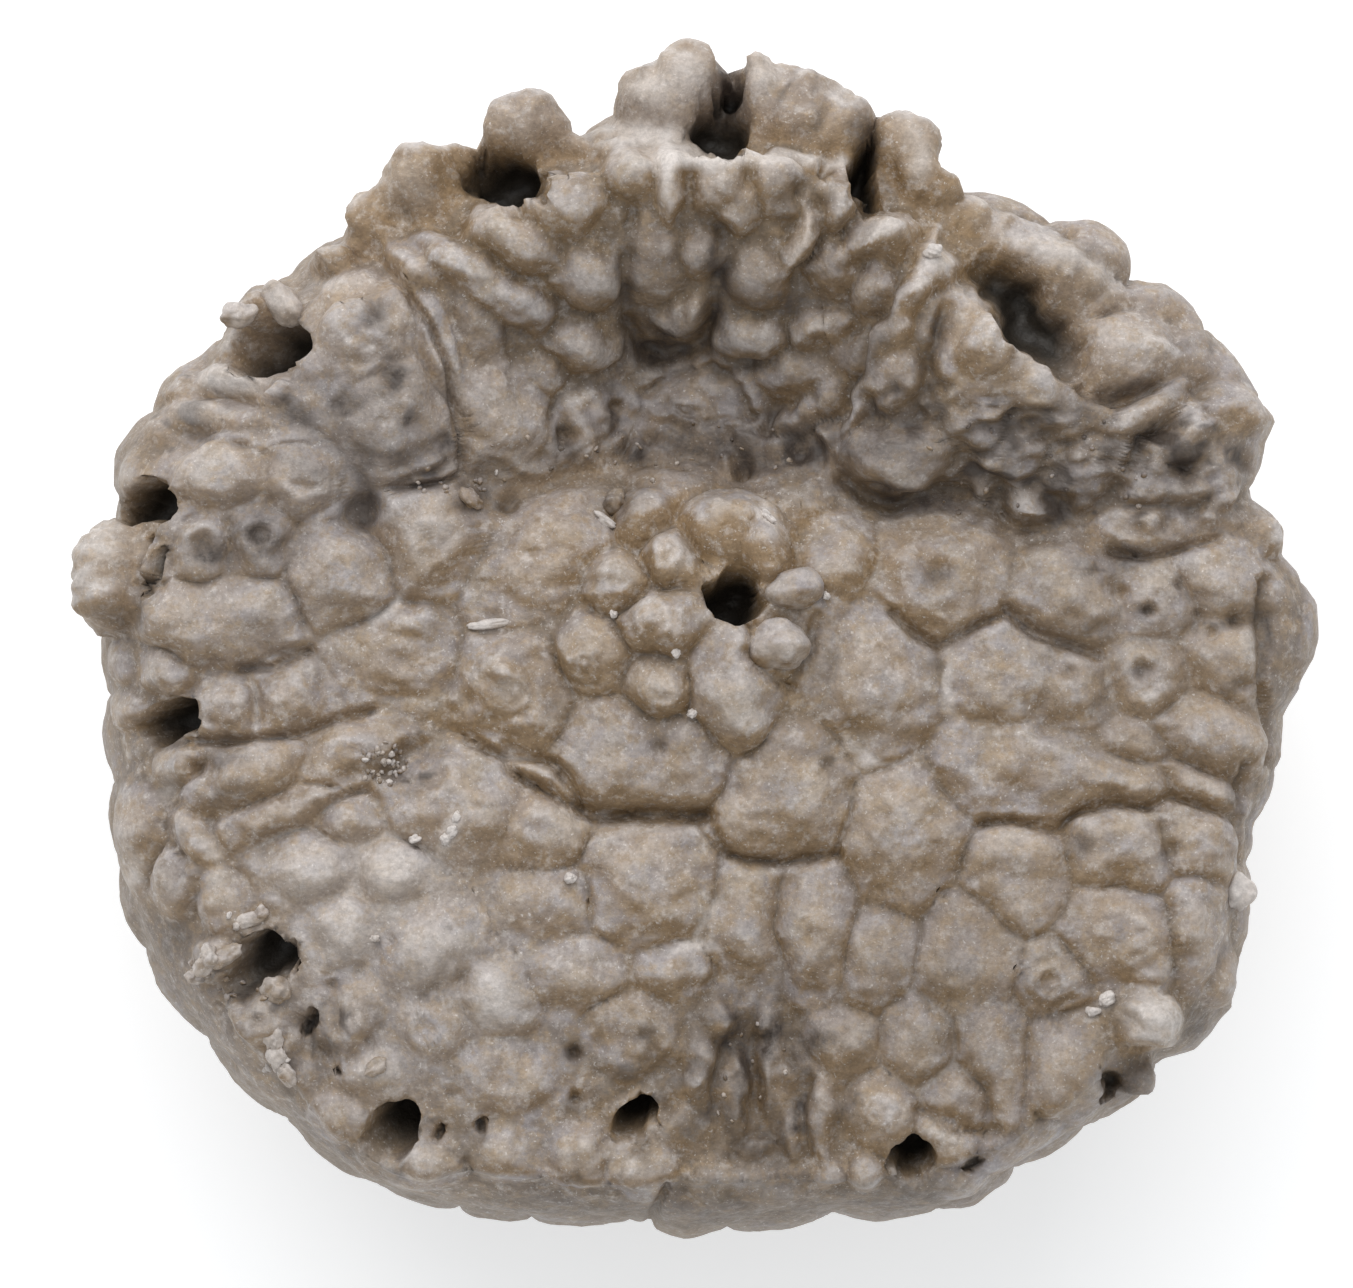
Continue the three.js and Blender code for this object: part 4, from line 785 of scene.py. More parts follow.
# Crumbs are large ones with small ones on them, each at its own height and parted by narrow gaps.
rough = np.where(above, patchwork(wavy, CRUMBS, *CRUMB_ENDS), 0) * level_ground
gap, lift = broken(wavy, LARGE_CRUMBS, 0)
small_gap, small_lift = broken(wavy, SMALL_CRUMBS, 9)
crumb = smooth(0, 0.5, gap) * (0.6 + 0.45 * lift)
crumb = crumb + smooth(0, 0.3, small_gap) * (0.25 + 0.2 * small_lift) - 0.6
relief += rough * (blurred(crumb, corners, 2) + 0.12 * noise(bare, 0.42, 1))

# Knobs are bell shapes, pits are where two sizes of noise are high, growth lines are cosines round a middle.
relief += unevenness(bare, GRIT)
for x, y, radius, rise in KNOBS:
    across = inside(bare, (x, y, radius, radius, 0))
    relief += np.where(above, rise * np.exp(-2 * across**2), 0)
pits = smooth(-0.3, 0.5, noise(bare, 3.1, 2)) * smooth(0.3, 0.75, noise(bare, 0.55, 1))
pits *= smooth(0.3, 0.7, normals[:, 2])
relief -= np.where(above, (PIT_DEPTHS[0] + PIT_DEPTHS[1] * melted) * pits, 0)
ring_lines = np.zeros(len(bare))
for x, y, radius, apart in GROWTH_LINES:
    away = np.hypot(wavy[:, 0] - x, wavy[:, 1] - y)
    wave = np.where(above, np.cos(math.tau * away / apart) * (1 - smooth(0.6 * radius, radius, away)), 0)
    relief += GROWTH_HEIGHT * wave
    ring_lines -= GROWTH_TAN * wave

# ---------------------------------------------------------------------------------------------------------
# Stem facet: the round place underneath where the stem was joined on, with short spokes round its rim and a
# fine canal in its middle. The plates' relief fades out towards it, and is weaker on steep walls.

STEM_RADIUS = 3.2
FACET_EDGE = 1.5  # width in which the relief fades out
LUMEN_RADIUS = 0.8  # of the canal
CANAL_DEPTH = 2.2
SPOKES = 36
SPOKE_HEIGHT = 0.12
SPOKE_RING = (1.7, 2.1, 2.9, STEM_RADIUS)  # radii at which the spokes begin, are full, still full, and end
UNDERSIDE = 5.0  # level below which the stone belongs to the base

facet = smooth(STEM_RADIUS, STEM_RADIUS + FACET_EDGE, np.hypot(bare[:, 0], bare[:, 1]))
relief = np.where(bare[:, 2] > UNDERSIDE, relief, relief * facet)
sideways = np.where(bare[:, 2] > UNDERSIDE, 0.5 + 0.5 * np.abs(normals[:, 2]), 1)
stone = bare + (relief * sideways)[:, None] * normals
radius, angle = np.hypot(stone[:, 0], stone[:, 1]), np.arctan2(stone[:, 1], stone[:, 0])
spokes = SPOKE_HEIGHT * np.cos(SPOKES * angle) * smooth(*SPOKE_RING[:2], radius)
spokes = spokes * (1 - smooth(*SPOKE_RING[2:], radius))
canal = CANAL_DEPTH * (1 - smooth(0.5 * LUMEN_RADIUS, LUMEN_RADIUS, radius))
stone[:, 2] += np.where(bare[:, 2] < UNDERSIDE, spokes + canal, 0)
stone[:, 2] = np.maximum(stone[:, 2], 0)  # level feet, on which the calyx rests

# ---------------------------------------------------------------------------------------------------------
# Arm stubs: the lowest joints of the arms, broken off short. They are drawn out of the margin as blocky
# knobs of the same calcite, most of them on the highest side, and lean outwards.

# x, y, z of the middle, half length, half width, half height, turn, and how far they lean out from upright
STUBS = [
    [0.1, 22.2, 20.4, 1.4, 1.6, 1.8, 0, 30], [-1.4, 21.4, 20.4, 1.4, 1.3, 1.6, 0, 30],
    [-0.3, 21.2, 20.7, 1.4, 1.1, 1.6, 0, 25], [-3.2, 19.9, 20.6, 0.8, 0.7, 1, 0, 25],
    [4.7, 20.8, 20.5, 2.5, 1.9, 1.8, -20, 25], [2.9, 22.1, 20.6, 0.65, 1.15, 1.7, 10, 28],
    [6.3, 20.6, 20.3, 1.1, 1.1, 1.9, -20, 28], [8.8, 19.5, 20.2, 1.4, 1.3, 1.7, 0, 30],
    [9.8, 18, 21, 1.2, 0.95, 1.4, 0, 30], [-6.6, 20.3, 20.2, 1.9, 1.45, 1.8, 0, 30],
    [-4.2, 19.5, 20.6, 0.7, 0.6, 0.9, 0, 25], [-10.6, 18.2, 20.2, 1.7, 1.5, 1.7, 45, 28],
    [-12.5, 16.7, 20, 1.4, 1.3, 1.4, 40, 28], [-9.3, 19.1, 19.7, 0.9, 0.8, 1.2, 0, 28],
    [-14.2, 15.3, 20.2, 0.9, 0.85, 1.1, 0, 25], [-17.5, 13.4, 20.2, 0.8, 0.75, 0.9, 0, 25],
    [-23.1, 2.5, 20, 1.6, 2.3, 1.8, 0, 35], [18.4, -15.3, 22.1, 1.4, 1.3, 1.5, 0, 10],
    [18, -17.5, 19.8, 0.9, 0.8, 1.2, 40, 25], [22.8, 4, 19.4, 0.8, 0.9, 1.4, 0, 30],
    [1.9, 21.3, 18.6, 0.9, 1.2, 1.2, 0, 28], [7.5, 19.9, 19.3, 0.8, 0.9, 1.1, 0, 28],
]

BLOCKY = 2.5  # power of a stub's outline: 2 is an ellipse, more is squarer
FOOT_LOW, FOOT_HIGH = 2.9, 1.4  # half heights below a stub's middle between which it fades into the wall
STUB_LUMPS = (0.28, 1.4)  # how far a stub's surface is moved in and out, and over what length
STUB_EVENING = (0.8, 5)  # share of the way and rounds in which its drawn-out sides are evened


def standing(up, turn):
    """Three unit axes: one in the direction of the turn but square to up, one square to both, and up."""
    ahead = np.array([math.cos(math.radians(turn)), math.sin(math.radians(turn)), 0])
    ahead = ahead - (ahead @ up) * up
    ahead /= np.linalg.norm(ahead)
    return np.stack([ahead, np.cross(up, ahead), up])


def arm_stub(points, row):
    """The points, with those under a stub moved out to it, and how far they move. The stub is a blocky
    ellipsoid: the powers of the distances along its axes add up to 1. The points move along its lean until
    they leave it, and less and less far down the wall."""
    x, y, level, long, wide, tall, turn, lean = row
    out = np.array([x, y, 0]) / math.hypot(x, y)
    up = math.sin(math.radians(lean)) * out + np.array([0, 0, math.cos(math.radians(lean))])
    ahead, beside, up = standing(up, turn)
    offset = points - np.array([x, y, level])
    along, across, high = offset @ ahead / long, offset @ beside / wide, offset @ up
    apart = (np.abs(along) ** BLOCKY + np.abs(across) ** BLOCKY) ** (1 / BLOCKY)
    leave = tall * np.maximum(0, 1 - apart**BLOCKY) ** (1 / BLOCKY)
    rise = np.where(apart < 1, np.maximum(0, leave - high), 0)
    rise *= smooth(level - FOOT_LOW * tall, level - FOOT_HIGH * tall, points[:, 2])
    return points + rise[:, None] * up, rise


on_stub = np.zeros(len(bare))
lumps = drift(bare, *STUB_LUMPS)
for row in STUBS:
    moved, rise = arm_stub(stone + lumps, row)
    stone = np.where(above[:, None], moved - lumps, stone)
    on_stub = np.where(above, np.maximum(on_stub, smooth(0.0, 0.3, rise)), on_stub)
stone = evened(stone, corners, STUB_EVENING[0] * blurred(on_stub, corners, 2), STUB_EVENING[1])

# ---------------------------------------------------------------------------------------------------------
# Openings: the anal opening in the middle, the holes along the margin where the arms' canals came in, clefts
# between the arm stubs and at the upper right, and smaller pits. All are broken into the same stone.

# x, y, half length, half width, turn, depth, lean towards the axis
OPENINGS = [
    [1.85, 1.65, 1.25, 1.25, 0, 3.8, 20], [-16.8, 11.6, 1.8, 1.05, 20, 3.6, 38],
    [-21.7, 5.3, 1.45, 0.85, 25, 3.2, 38], [-20.6, -3.4, 1.35, 0.8, 25, 3, 38],
    [-17.2, -13.3, 1.9, 1.25, 48, 3, 42], [-15.8, -12.6, 0.3, 0.75, -15, 2, 0],
    [-11.8, -19.5, 1, 1.5, -35, 4, 38], [-2.1, -19.1, 0.85, 1.35, -35, 3.6, 30],
    [8.8, -20.8, 0.95, 1.05, 0, 3.6, 32], [16.9, -17.8, 0.35, 0.9, -15, 2, 10],
    [13.7, 12.7, 3.9, 1.25, -47, 4, 6], [7.1, 18.3, 0.65, 1.7, 6, 3.6, 10],
    [1.4, 20.2, 1.35, 1.1, 0, 3.6, 10], [1.8, 21.7, 0.5, 1.3, 0, 2.4, 10],
    [-7.2, 18.2, 1.8, 0.95, -12, 3.6, 10], [-21.2, 2.7, 0.26, 1.9, -3, 1.5, 10],
    # smaller pits
    [-15, -15.3, 0.6, 0.35, 50, 1.4, 10], [-13.7, -17.2, 0.5, 0.3, 45, 1.2, 0],
    [-9.9, -19.7, 0.3, 0.4, 0, 1.2, 0], [-8.2, -19.7, 0.4, 0.35, 30, 1.2, 0],
    [11.3, -20.9, 0.4, 0.35, 0, 1.2, 0],
]

NARROW = 2.5  # times as long as it is wide, beyond which an opening is a cleft with ends that taper
TAPER = 0.85  # share of the spreading along a cleft that is taken back
SPREADING = 0.35  # power of the way from the middle to the wall that points are spread by: less is steeper
LIP = 0.1  # distance from the rim within which vertices move on to it
WALL_LOW, WALL_HIGH = 16.3, 18.3  # levels between which openings fade out down the wall
RAGGED = [(0.3, 1.3), (0.24, 0.5)]  # how far the rims wander, and over what length
OPENING_EVENING = (0.6, 3)  # share of the way and rounds in which the shafts' walls are evened


def opened(stone, row):
    """The stone with one opening, how deep inside it each point is, and how far from its rim. What lies
    inside, apart from a stub above it, is spread to the opening's wall by a power of its distance from the
    middle, and pushed down a shaft that leans in towards the axis. A cleft is spread mostly across."""
    x, y, long, wide, turn, depth, lean = row
    across = np.where(above & (on_stub < 0.5), inside(ragged, row), FAR)
    across = across + 3 * (1 - smooth(WALL_LOW, WALL_HIGH, stone[:, 2]))
    rim = np.abs(across - 1) * min(long, wide)
    share = np.where(rim < LIP, 1, np.minimum(across, 1))
    spread = np.where(share < 1, share**SPREADING / np.maximum(across, 0.02), 1)
    spread = np.where(rim < LIP, 1 / np.maximum(across, 0.5), spread)
    shift = (stone[:, :2] - (x, y)) * (spread - 1)[:, None]
    if max(long, wide) > NARROW * min(long, wide):
        turn = math.radians(turn + 90 * (wide > long))
        lengthways = np.array([math.cos(turn), math.sin(turn)])
        shift -= TAPER * (shift @ lengthways)[:, None] * lengthways
    lean = math.radians(lean)
    shaft = np.array([-x, -y, 0]) / math.hypot(x, y) * math.sin(lean) - np.array([0, 0, math.cos(lean)])
    down = (depth * (1 - smooth(0.1, 1.0, share)))[:, None] * shaft
    depth_share = (1 - smooth(0.2, 0.97, share)) * min(1, 0.3 + depth / 5)
    return np.concatenate([stone[:, :2] + shift, stone[:, 2:]], 1) + down, depth_share, rim


ragged = stone + drift(bare, *RAGGED[0]) + drift(bare, *RAGGED[1])
deep = np.zeros(len(bare))
for row in OPENINGS:
    stone, depth_share, rim = opened(stone, row)
    deep = np.maximum(deep, depth_share)
    seam = np.minimum(seam, rim)
stone = evened(stone, corners, OPENING_EVENING[0] * blurred(deep, corners, 1), OPENING_EVENING[1])

# The places drawn out into stubs and openings get their own unevenness back.
DRAWN_OUT_GRIT = [(0.26, 1.5, 0), (0.2, 0.8, 1), (0.12, 0.42, 2)]
drawn_out = np.maximum(on_stub, blurred(deep, corners, 2))
outward = vertex_normals(stone, corners)
stone = stone + (unevenness(stone, DRAWN_OUT_GRIT) * drawn_out)[:, None] * outward

# Each four-sided face is cut from corner to corner along whichever diagonal lies closer to a seam or rim.
a, b, c, d = quads.T
along_seam = (seam[a] + seam[c] <= seam[b] + seam[d])[:, None]
faces = np.concatenate([
    np.where(along_seam, np.stack([a, b, c], 1), np.stack([a, b, d], 1)),
    np.where(along_seam, np.stack([a, c, d], 1), np.stack([b, c, d], 1)),
    triangles,
])

# ---------------------------------------------------------------------------------------------------------
# Calcite: the waxy stone that the calyx is made of, ochre and grey-brown in fine grains, paler where it
# stands proud, stained dark by dirt in its pores, and dusted pale in places. Painted shade makes it browner
# in hollows, between the knobs, on slopes that face the front, low on the bowl and down the openings, with
# painted shadows, highlights and glints.

# Stains (-) and pale dusty places (+), and among them painted shadows (-) under overhangs, in gaps, openings
# and the trough, and painted highlights (+) on some knob tops and ridges: x, y, half length, half width,
# turn, how strong
STAINS_AND_PAINTED_LIGHT = [
    # the trough before the highest side, and the crumbled slope at its end
    [2, 7.8, 7.5, 1.3, 0, -0.7], [-7.5, 6.6, 3, 1, -15, -0.3], [8.4, 8.4, 2.4, 1.6, 0, -0.25],
    [2.3, 6.9, 0.7, 0.4, 0, -0.9], [4.4, 7.4, 0.9, 0.4, 20, -0.8], [-4.9, 8.1, 0.5, 0.6, 0, -0.8],
    [-7, 5.4, 0.6, 0.4, 0, -0.9], [-3, 9.2, 0.4, 0.7, 0, -0.7], [0.6, 7.4, 0.5, 0.4, 0, -0.7],
    [-2.3, 7.2, 0.5, 0.4, 0, -0.6], [-2.7, 5.3, 0.8, 0.8, 0, -0.6], [8.8, 5.6, 2.9, 0.35, -8, -0.8],
    [13.5, 5.6, 3.6, 2.2, 10, -0.12], [18.5, 6, 3.4, 1.8, -10, -0.05], [15, 5.4, 0.8, 0.6, 0, -0.5],
    [13.7, 8.6, 0.7, 0.5, 0, -0.5], [17.9, 7.5, 0.3, 0.8, -20, -0.7], [12, 7.6, 3, 1.2, 20, -0.15],
    [19.9, 6.5, 0.6, 0.6, -40, -0.8], [16.8, 7.6, 0.6, 0.5, 0, -0.5], [14.8, 4.7, 0.7, 0.5, 0, -0.6],
    [17.6, 3, 0.9, 0.4, 0, -0.6],
    # the inner slope of the highest side
    [1.5, 12.8, 6, 3.4, 0, -0.36], [-1.1, 11.4, 1.2, 1, 20, -0.8], [-0.2, 9.2, 0.7, 0.5, 0, -0.35],
    [0.3, 9.9, 1.4, 0.5, 0, 0.4], [-4.3, 9.4, 0.9, 0.5, 0, 0.35], [-0.3, 10.9, 1.4, 0.2, 12, 0.5],
    [7.3, 9.8, 2.8, 0.2, 59, 0.5], [-2.9, 9.2, 0.3, 0.7, 0, -0.6], [-6.9, 8.9, 1, 1.2, 0, 0.25],
    [7.5, 12, 1, 3, -20, -0.35], [9.8, 11.5, 0.5, 1.9, -8, -0.8], [-6.6, 12, 1.6, 1, -30, -0.4],
    [-2.4, 14.5, 0.5, 2.4, 0, -0.4], [1.3, 14, 0.5, 2.4, 0, -0.4], [4.2, 13.2, 1.6, 0.5, 0, -0.35],
    [-0.8, 18.6, 0.35, 1.6, 0, 0.8], [0, 19.3, 0.9, 0.4, 0, 0.5], [-1.6, 20.3, 1.6, 0.6, 0, 0.4],
    [4.5, 15.6, 0.35, 1.6, -22, 0.5], [7.8, 16.1, 1.4, 0.6, 10, 0.5], [9.2, 14.2, 2.4, 0.3, 66, 0.55],
    [10, 14.8, 0.9, 0.6, 0, 0.5], [12.6, 16.1, 1.6, 0.5, -30, 0.35], [15.6, 15.1, 2.6, 0.6, -38, 0.35],
    [13.6, 12.5, 2, 0.4, -42, 0.4], [2.5, 12.5, 1.2, 0.5, 0, 0.3], [-0.1, 13.3, 0.8, 0.5, 20, 0.45],
    # arm stubs
    [4, 21.8, 0.25, 0.8, -20, -0.8], [5.4, 20.9, 0.2, 1, -25, -0.5], [3, 22.6, 0.6, 0.5, 0, 0.6],
    [5.9, 21.6, 0.7, 0.5, -30, 0.5], [9.3, 19, 0.6, 0.9, 0, 0.6], [-1.7, 21.9, 0.7, 0.6, 0, 0.5],
    [-6.6, 20.6, 1.7, 1.2, 0, 0.2], [0, 22.4, 1.6, 1.3, 0, 0.55], [-10.9, 18.2, 1.6, 1.4, 0, 0.3],
    [-23, 3.2, 1.2, 1.3, 0, 0.4], [-22.6, 1, 1.2, 0.8, 0, -0.3], [3, 21.8, 1.2, 0.8, 0, 0.3],
    [9, 20.2, 0.7, 0.9, 0, 0.35], [18.4, -15.1, 1.2, 1.1, 0, 0.7], [16.7, -14.5, 0.6, 0.35, 40, 0.8],
    # upper left
    [-13, 9.6, 1.6, 0.35, 25, -0.5], [-10.6, 9.4, 0.35, 0.8, 0, -0.5], [-10.9, 7.2, 0.9, 0.35, 0, -0.5],
    [-9.9, 12.3, 0.4, 0.6, 0, -0.5], [-15.9, 9.6, 0.5, 0.7, 20, -0.7], [-19.3, 8.2, 0.7, 0.35, 0, -0.7],
    [-17.9, 9.2, 0.9, 0.25, -10, -0.6], [-14, 14.2, 1.2, 0.4, 0, 0.5], [-8.9, 9, 0.25, 2, 5, 0.4],
    [-12.3, 12.9, 0.6, 0.5, 0, -0.87], [-11.7, 10.3, 0.7, 0.5, 0, -0.85], [-13.8, 9.1, 0.7, 0.45, 20, -0.8],
    [-11, 8.6, 0.5, 0.4, 0, -1], [-9.7, 7.8, 0.6, 0.4, 0, -0.87], [-15.2, 8.6, 0.5, 0.8, 30, -0.7],
    [-12.8, 6.2, 0.45, 1.2, 15, -0.75], [-12.7, 4.7, 0.5, 0.4, 0, -0.72], [-16.8, 4.2, 0.9, 0.9, 0, -1],
    [-18.8, 3.3, 0.8, 0.6, -20, -1], [-14.6, 6.6, 0.5, 0.4, 0, -0.58], [-15.6, 7.2, 0.6, 0.4, 0, -0.58],
    [-12.2, 7.3, 1.4, 0.4, -20, -0.45], [-18.1, 10.2, 1.4, 0.45, -15, 1.1], [-19.4, 9, 1.4, 0.5, 0, 0.5],
    [-19.2, 6.9, 1.6, 1, 0, 0.3], [-12, 4.7, 0.4, 0.3, 0, 0.6], [-22.6, 6.4, 0.8, 0.6, 0, 0.4],
    [-19, 1.3, 2.2, 0.7, 0, 0.25], [-8.6, 5.4, 0.7, 0.5, 0, -1],
    # middle
    [5.4, -0.6, 0.8, 1.7, 0, -0.5], [-0.5, 3.3, 0.6, 0.6, 0, 0.5], [2, -3.2, 1.2, 0.5, 20, 0.35],
    [-5, -2.9, 0.6, 0.5, 0, -0.6], [9.9, 2.5, 0.8, 0.5, 0, -0.55], [5.6, -5, 0.5, 0.6, 0, -0.55],
    [-1, -4.4, 0.5, 0.5, 0, -0.5], [7, -3.6, 1.2, 0.8, 0, -0.2], [9.6, -1.1, 0.5, 0.5, 0, -0.5],
    [-7, -2, 0.6, 0.5, 0, 0.4], [10.3, -1.6, 0.22, 1.3, 5, 0.9], [8, -5, 1.3, 0.15, 0, 0.6],
    [6.6, -4.4, 1, 0.16, -40, 0.6], [-12, 1, 0.9, 0.2, 50, 0.9], [0.2, -12.3, 1.1, 0.2, 0, 0.9],
    [0.8, -11.2, 0.22, 1, -25, 0.8], [3.3, 5, 0.2, 0.6, 30, 0.9], [-9.3, -7.7, 0.25, 0.8, -30, 0.9],
    [-8, -6.6, 0.5, 0.3, 0, -0.5],
    # right
    [18.4, 1.1, 0.4, 0.35, 0, -0.9], [15.2, -1.4, 0.4, 0.35, 0, -0.55], [18.1, -1.1, 0.4, 0.3, 0, -0.6],
    [16.7, -2.6, 0.4, 0.6, 0, -0.5], [15.6, -8.3, 0.5, 0.5, 0, -0.6], [19.2, -8.4, 0.5, 0.5, 0, -0.5],
    [21.4, 0.8, 1.2, 0.25, 10, -0.8], [18.5, -2.2, 0.4, 0.3, 0, 0.9], [18.8, 2.2, 0.9, 0.6, 0, 0.5],
    [22.95, 0.2, 0.22, 2.2, 0, -0.8], [22, -6.3, 0.2, 1.3, 8, -0.6], [17.2, 9.6, 1.6, 0.35, 12, -0.8],
    [21.6, 2.6, 1.6, 0.7, 0, 0.3], [21.8, -1.9, 0.5, 0.4, 0, -0.6], [20.2, -4.6, 1.6, 0.8, -15, -0.3],
    [13.4, -8.2, 1.2, 0.6, 0, 0.25], [16.2, 0.4, 0.8, 0.4, 0, -0.4],
    # lower left
    [-15, -9.3, 1.8, 1, 0, 0.35], [-11.6, -9.2, 1.7, 1.1, 0, 0.5], [-13.6, -11.6, 1.2, 1.1, 0, 0.4],
    [-7.6, -14.4, 0.7, 1, 20, 0.6], [-12.4, -17, 1.1, 0.6, 0, 0.5], [-14.1, -13.8, 0.5, 0.4, 0, -0.6],
    [-11.7, -12.4, 0.6, 0.9, 0, -0.3], [-4.4, -16.5, 0.6, 0.45, 0, -0.9],
    [-4.4, -18.4, 0.45, 0.35, 0, -0.7], [-8.3, -19.6, 0.4, 0.4, 0, -0.7], [-19, -8.6, 0.3, 0.8, 20, 0.5],
    [-22.2, -9.3, 0.25, 0.7, 0, 0.8], [-20.4, -12.2, 0.9, 0.9, 0, -0.5], [-12, -5.2, 0.9, 0.9, 0, -0.35],
    [-18.6, -6, 1, 0.4, 20, -0.4], [-10.3, -12.2, 1.6, 1, 0, 0.25], [-14, -16.3, 1.6, 0.8, -30, -0.3],
    [-20.6, -5.9, 0.5, 0.5, 0, 0.5],
    # the front margin
    [1.9, -17.6, 2.6, 3.8, 0, -0.28], [0.6, -15.2, 1.6, 1, 0, -0.3], [4.2, -20.2, 3, 1.4, 0, -0.2],
    [1.9, -15.7, 0.4, 0.7, 20, -0.7], [2.2, -17.3, 0.35, 1, 0, -0.85], [1, -18.6, 0.6, 0.4, 0, -0.6],
    [4.7, -18.9, 0.45, 1.2, 0, -0.9], [3.4, -15.9, 0.4, 0.9, 0, -0.7], [-0.3, -17.8, 0.5, 0.4, 0, -0.6],
    [5.2, -15.9, 0.8, 0.4, 20, -0.6], [3, -19.9, 0.9, 0.4, 0, -0.5], [0.3, -19.6, 0.7, 0.5, 0, -0.5],
    [-2, -17, 1.5, 1, 0, -0.35], [6.4, -18.6, 0.5, 1, 0, -0.5], [3.2, -15.6, 0.8, 1.6, 0, -0.3],
    [0, -23, 9, 0.8, 0, -0.4], [9.3, -22.2, 2, 0.7, 0, -0.5], [17.5, -18, 1.2, 0.9, 0, -0.5],
    [7.9, -18.5, 0.6, 0.35, 0, 0.6], [1.6, -15.6, 0.35, 0.2, 0, 0.8], [4.6, -19.9, 0.25, 0.2, 0, 0.8],
    [-12, -12.5, 7, 5.5, 0, 0.15], [10, -14.5, 7, 6, 0, -0.31], [17.5, 0, 6, 7.5, 0, -0.2],
    [-17, 3, 5, 6, 0, -0.1], [1.5, 14, 8, 4.5, 0, -0.12], [1.5, 18.9, 4.8, 0.35, 0, 1],
    [-1.8, 19.9, 2.2, 0.5, 0, 0.6], [5.6, 18.9, 1.4, 0.35, 0, 0.5], [1.75, 21.8, 0.6, 1.5, 0, -1.8],
    [7.2, 19.4, 0.55, 1.4, 6, -1.2], [-7.4, 18.1, 1.8, 0.7, -12, -0.5], [18, -17.6, 1, 0.9, 0, -0.35],
    [20.2, -15.4, 0.8, 0.7, 40, -0.6], [-10, -21.2, 2, 0.6, 0, 0.2], [-2, -21.3, 1.4, 0.6, 0, 0.3],
    [-5, -11, 1.5, 1, 0, -0.15],
]

# Broad washes of colour, browner (+) or greyer (-): x, y, half length, half width, turn, how strong
WASHES = [
    [1.5, 15, 8, 4.5, 0, 0.9], [3, -18, 5, 4, 0, 0.6], [13, 7, 4, 2, 0, 0.3], [-12.5, 9.5, 5, 5, 0, -0.8],
    [-12, -13, 7, 6, 0, -0.6], [-17, 2, 5, 6, 0, -0.5], [2, 7.6, 8, 1.6, 0, -0.6], [20, 3, 3, 5, 0, -0.3],
    [0, 21.6, 12, 2, 0, -0.8], [17, 12, 5, 4, 0, -0.5], [8, -10, 6, 6, 0, 0.05], [1, -2, 9, 8, 0, 0.25],
    [13, -14, 7, 7, 0, 0.1], [14, 0, 6, 6, 0, -0.2],
]

# The bowl's brown, the umber, the olive and the pit colour stand for painted shade, and the glint colour for
# painted highlights.
GREY_BROWN = (0.300, 0.271, 0.274)
BOWL_SHADE_BROWN = (0.185, 0.135, 0.088)
OCHRE = (0.306, 0.247, 0.190)
TAN = (0.340, 0.238, 0.138)
MAUVE = (0.185, 0.158, 0.152)
BROWN = (0.250, 0.180, 0.120)
SHADE_UMBER = (0.215, 0.134, 0.062)
SHADE_OLIVE = (0.130, 0.088, 0.048)
GREY = (0.350, 0.318, 0.312)
PALE = (0.640, 0.590, 0.555)
PAINTED_GLINT = (0.82, 0.78, 0.74)
DARK = (0.058, 0.043, 0.034)
PIT_SHADE = (0.020, 0.016, 0.011)

# Layers of colour over the ochre, each over the ones before it: the mark, or the noise (scale, detail,
# roughness), that it follows, where that starts to show, where it is strongest, how strong, and its colour
LAYERS = [
    ((520, 5, 0.68), 0.38, 0.54, 1.0, GREY_BROWN),
    ("tone", -1, 1, 0.22, BROWN),
    ("ring", 0.1, 1, 0.48, TAN),
    ((420, 4, 0.65), 0.52, 0.68, 0.55, MAUVE),
    ("wash", 0, 1, 0.75, BROWN),
    # painted shade on the ground between plates and knobs, and in hollows and creases
    ("ground_shade", 0.1, 0.9, 0.65, SHADE_OLIVE),
    ("crease_shade", 0.03, 0.55, 0.75, SHADE_OLIVE),
    ("proud", 0.02, 0.7, 0.5, PALE),
    # painted shade on slopes, most on those that face the front, away from the window
    ("shaded_flank", 0.04, 0.65, 0.92, SHADE_UMBER),
    ("wash", 0, -1, 0.65, GREY),
    ((260, 3, 0.6), 0.48, 0.64, 0.3, TAN),
    ((1400, 4, 0.7), 0.48, 0.66, 0.6, TAN),
    ((1800, 4, 0.7), 0.52, 0.7, 0.42, PALE),
    # painted shade low on the bowl, where its wall lies under the margin
    ("bowl", 0, 1, 0.8, BOWL_SHADE_BROWN),
    # painted glints: tiny highlights
    ((6500, 2, 0.7), 0.63, 0.72, 0.4, PAINTED_GLINT),
    ((700, 4, 0.65), 0.56, 0.74, 0.36, DARK),
    ("rough", 0, 1, 0.9, DARK),
    # pale dust and painted highlights
    ("stains_and_painted_light", 0.05, 1.0, 0.85, PALE),
]
POLISH = (0.42, 0.62)  # the shader's roughness, from waxy to dull in fine grains
PORE_DEPTH = 0.08  # of the finest pores, which are in the shading alone
NEAR_ROUNDS, WIDE_ROUNDS = 8, 70  # rounds of blurring for the near and the wide neighbourhood
RING_WIDTH = 0.26  # of the tan ring on each plate, as a share of its size
VEIN_WIDTH = 0.13  # of the thin mineral in a seam
BLOT_DRIFT = (0.4, 0.9)  # how far the outlines of stains and washes wander, and over what length
BOWL_SHADE_TOP = (15.5, 20.5)  # levels between which the painted shade low on the bowl fades out upwards


def bells(points, rows):
    """The sum over all rows of an ellipse's last value, times a bell shape of the way to its edge."""
    return sum(row[5] * np.exp(-inside(points, row) ** 2) for row in rows)
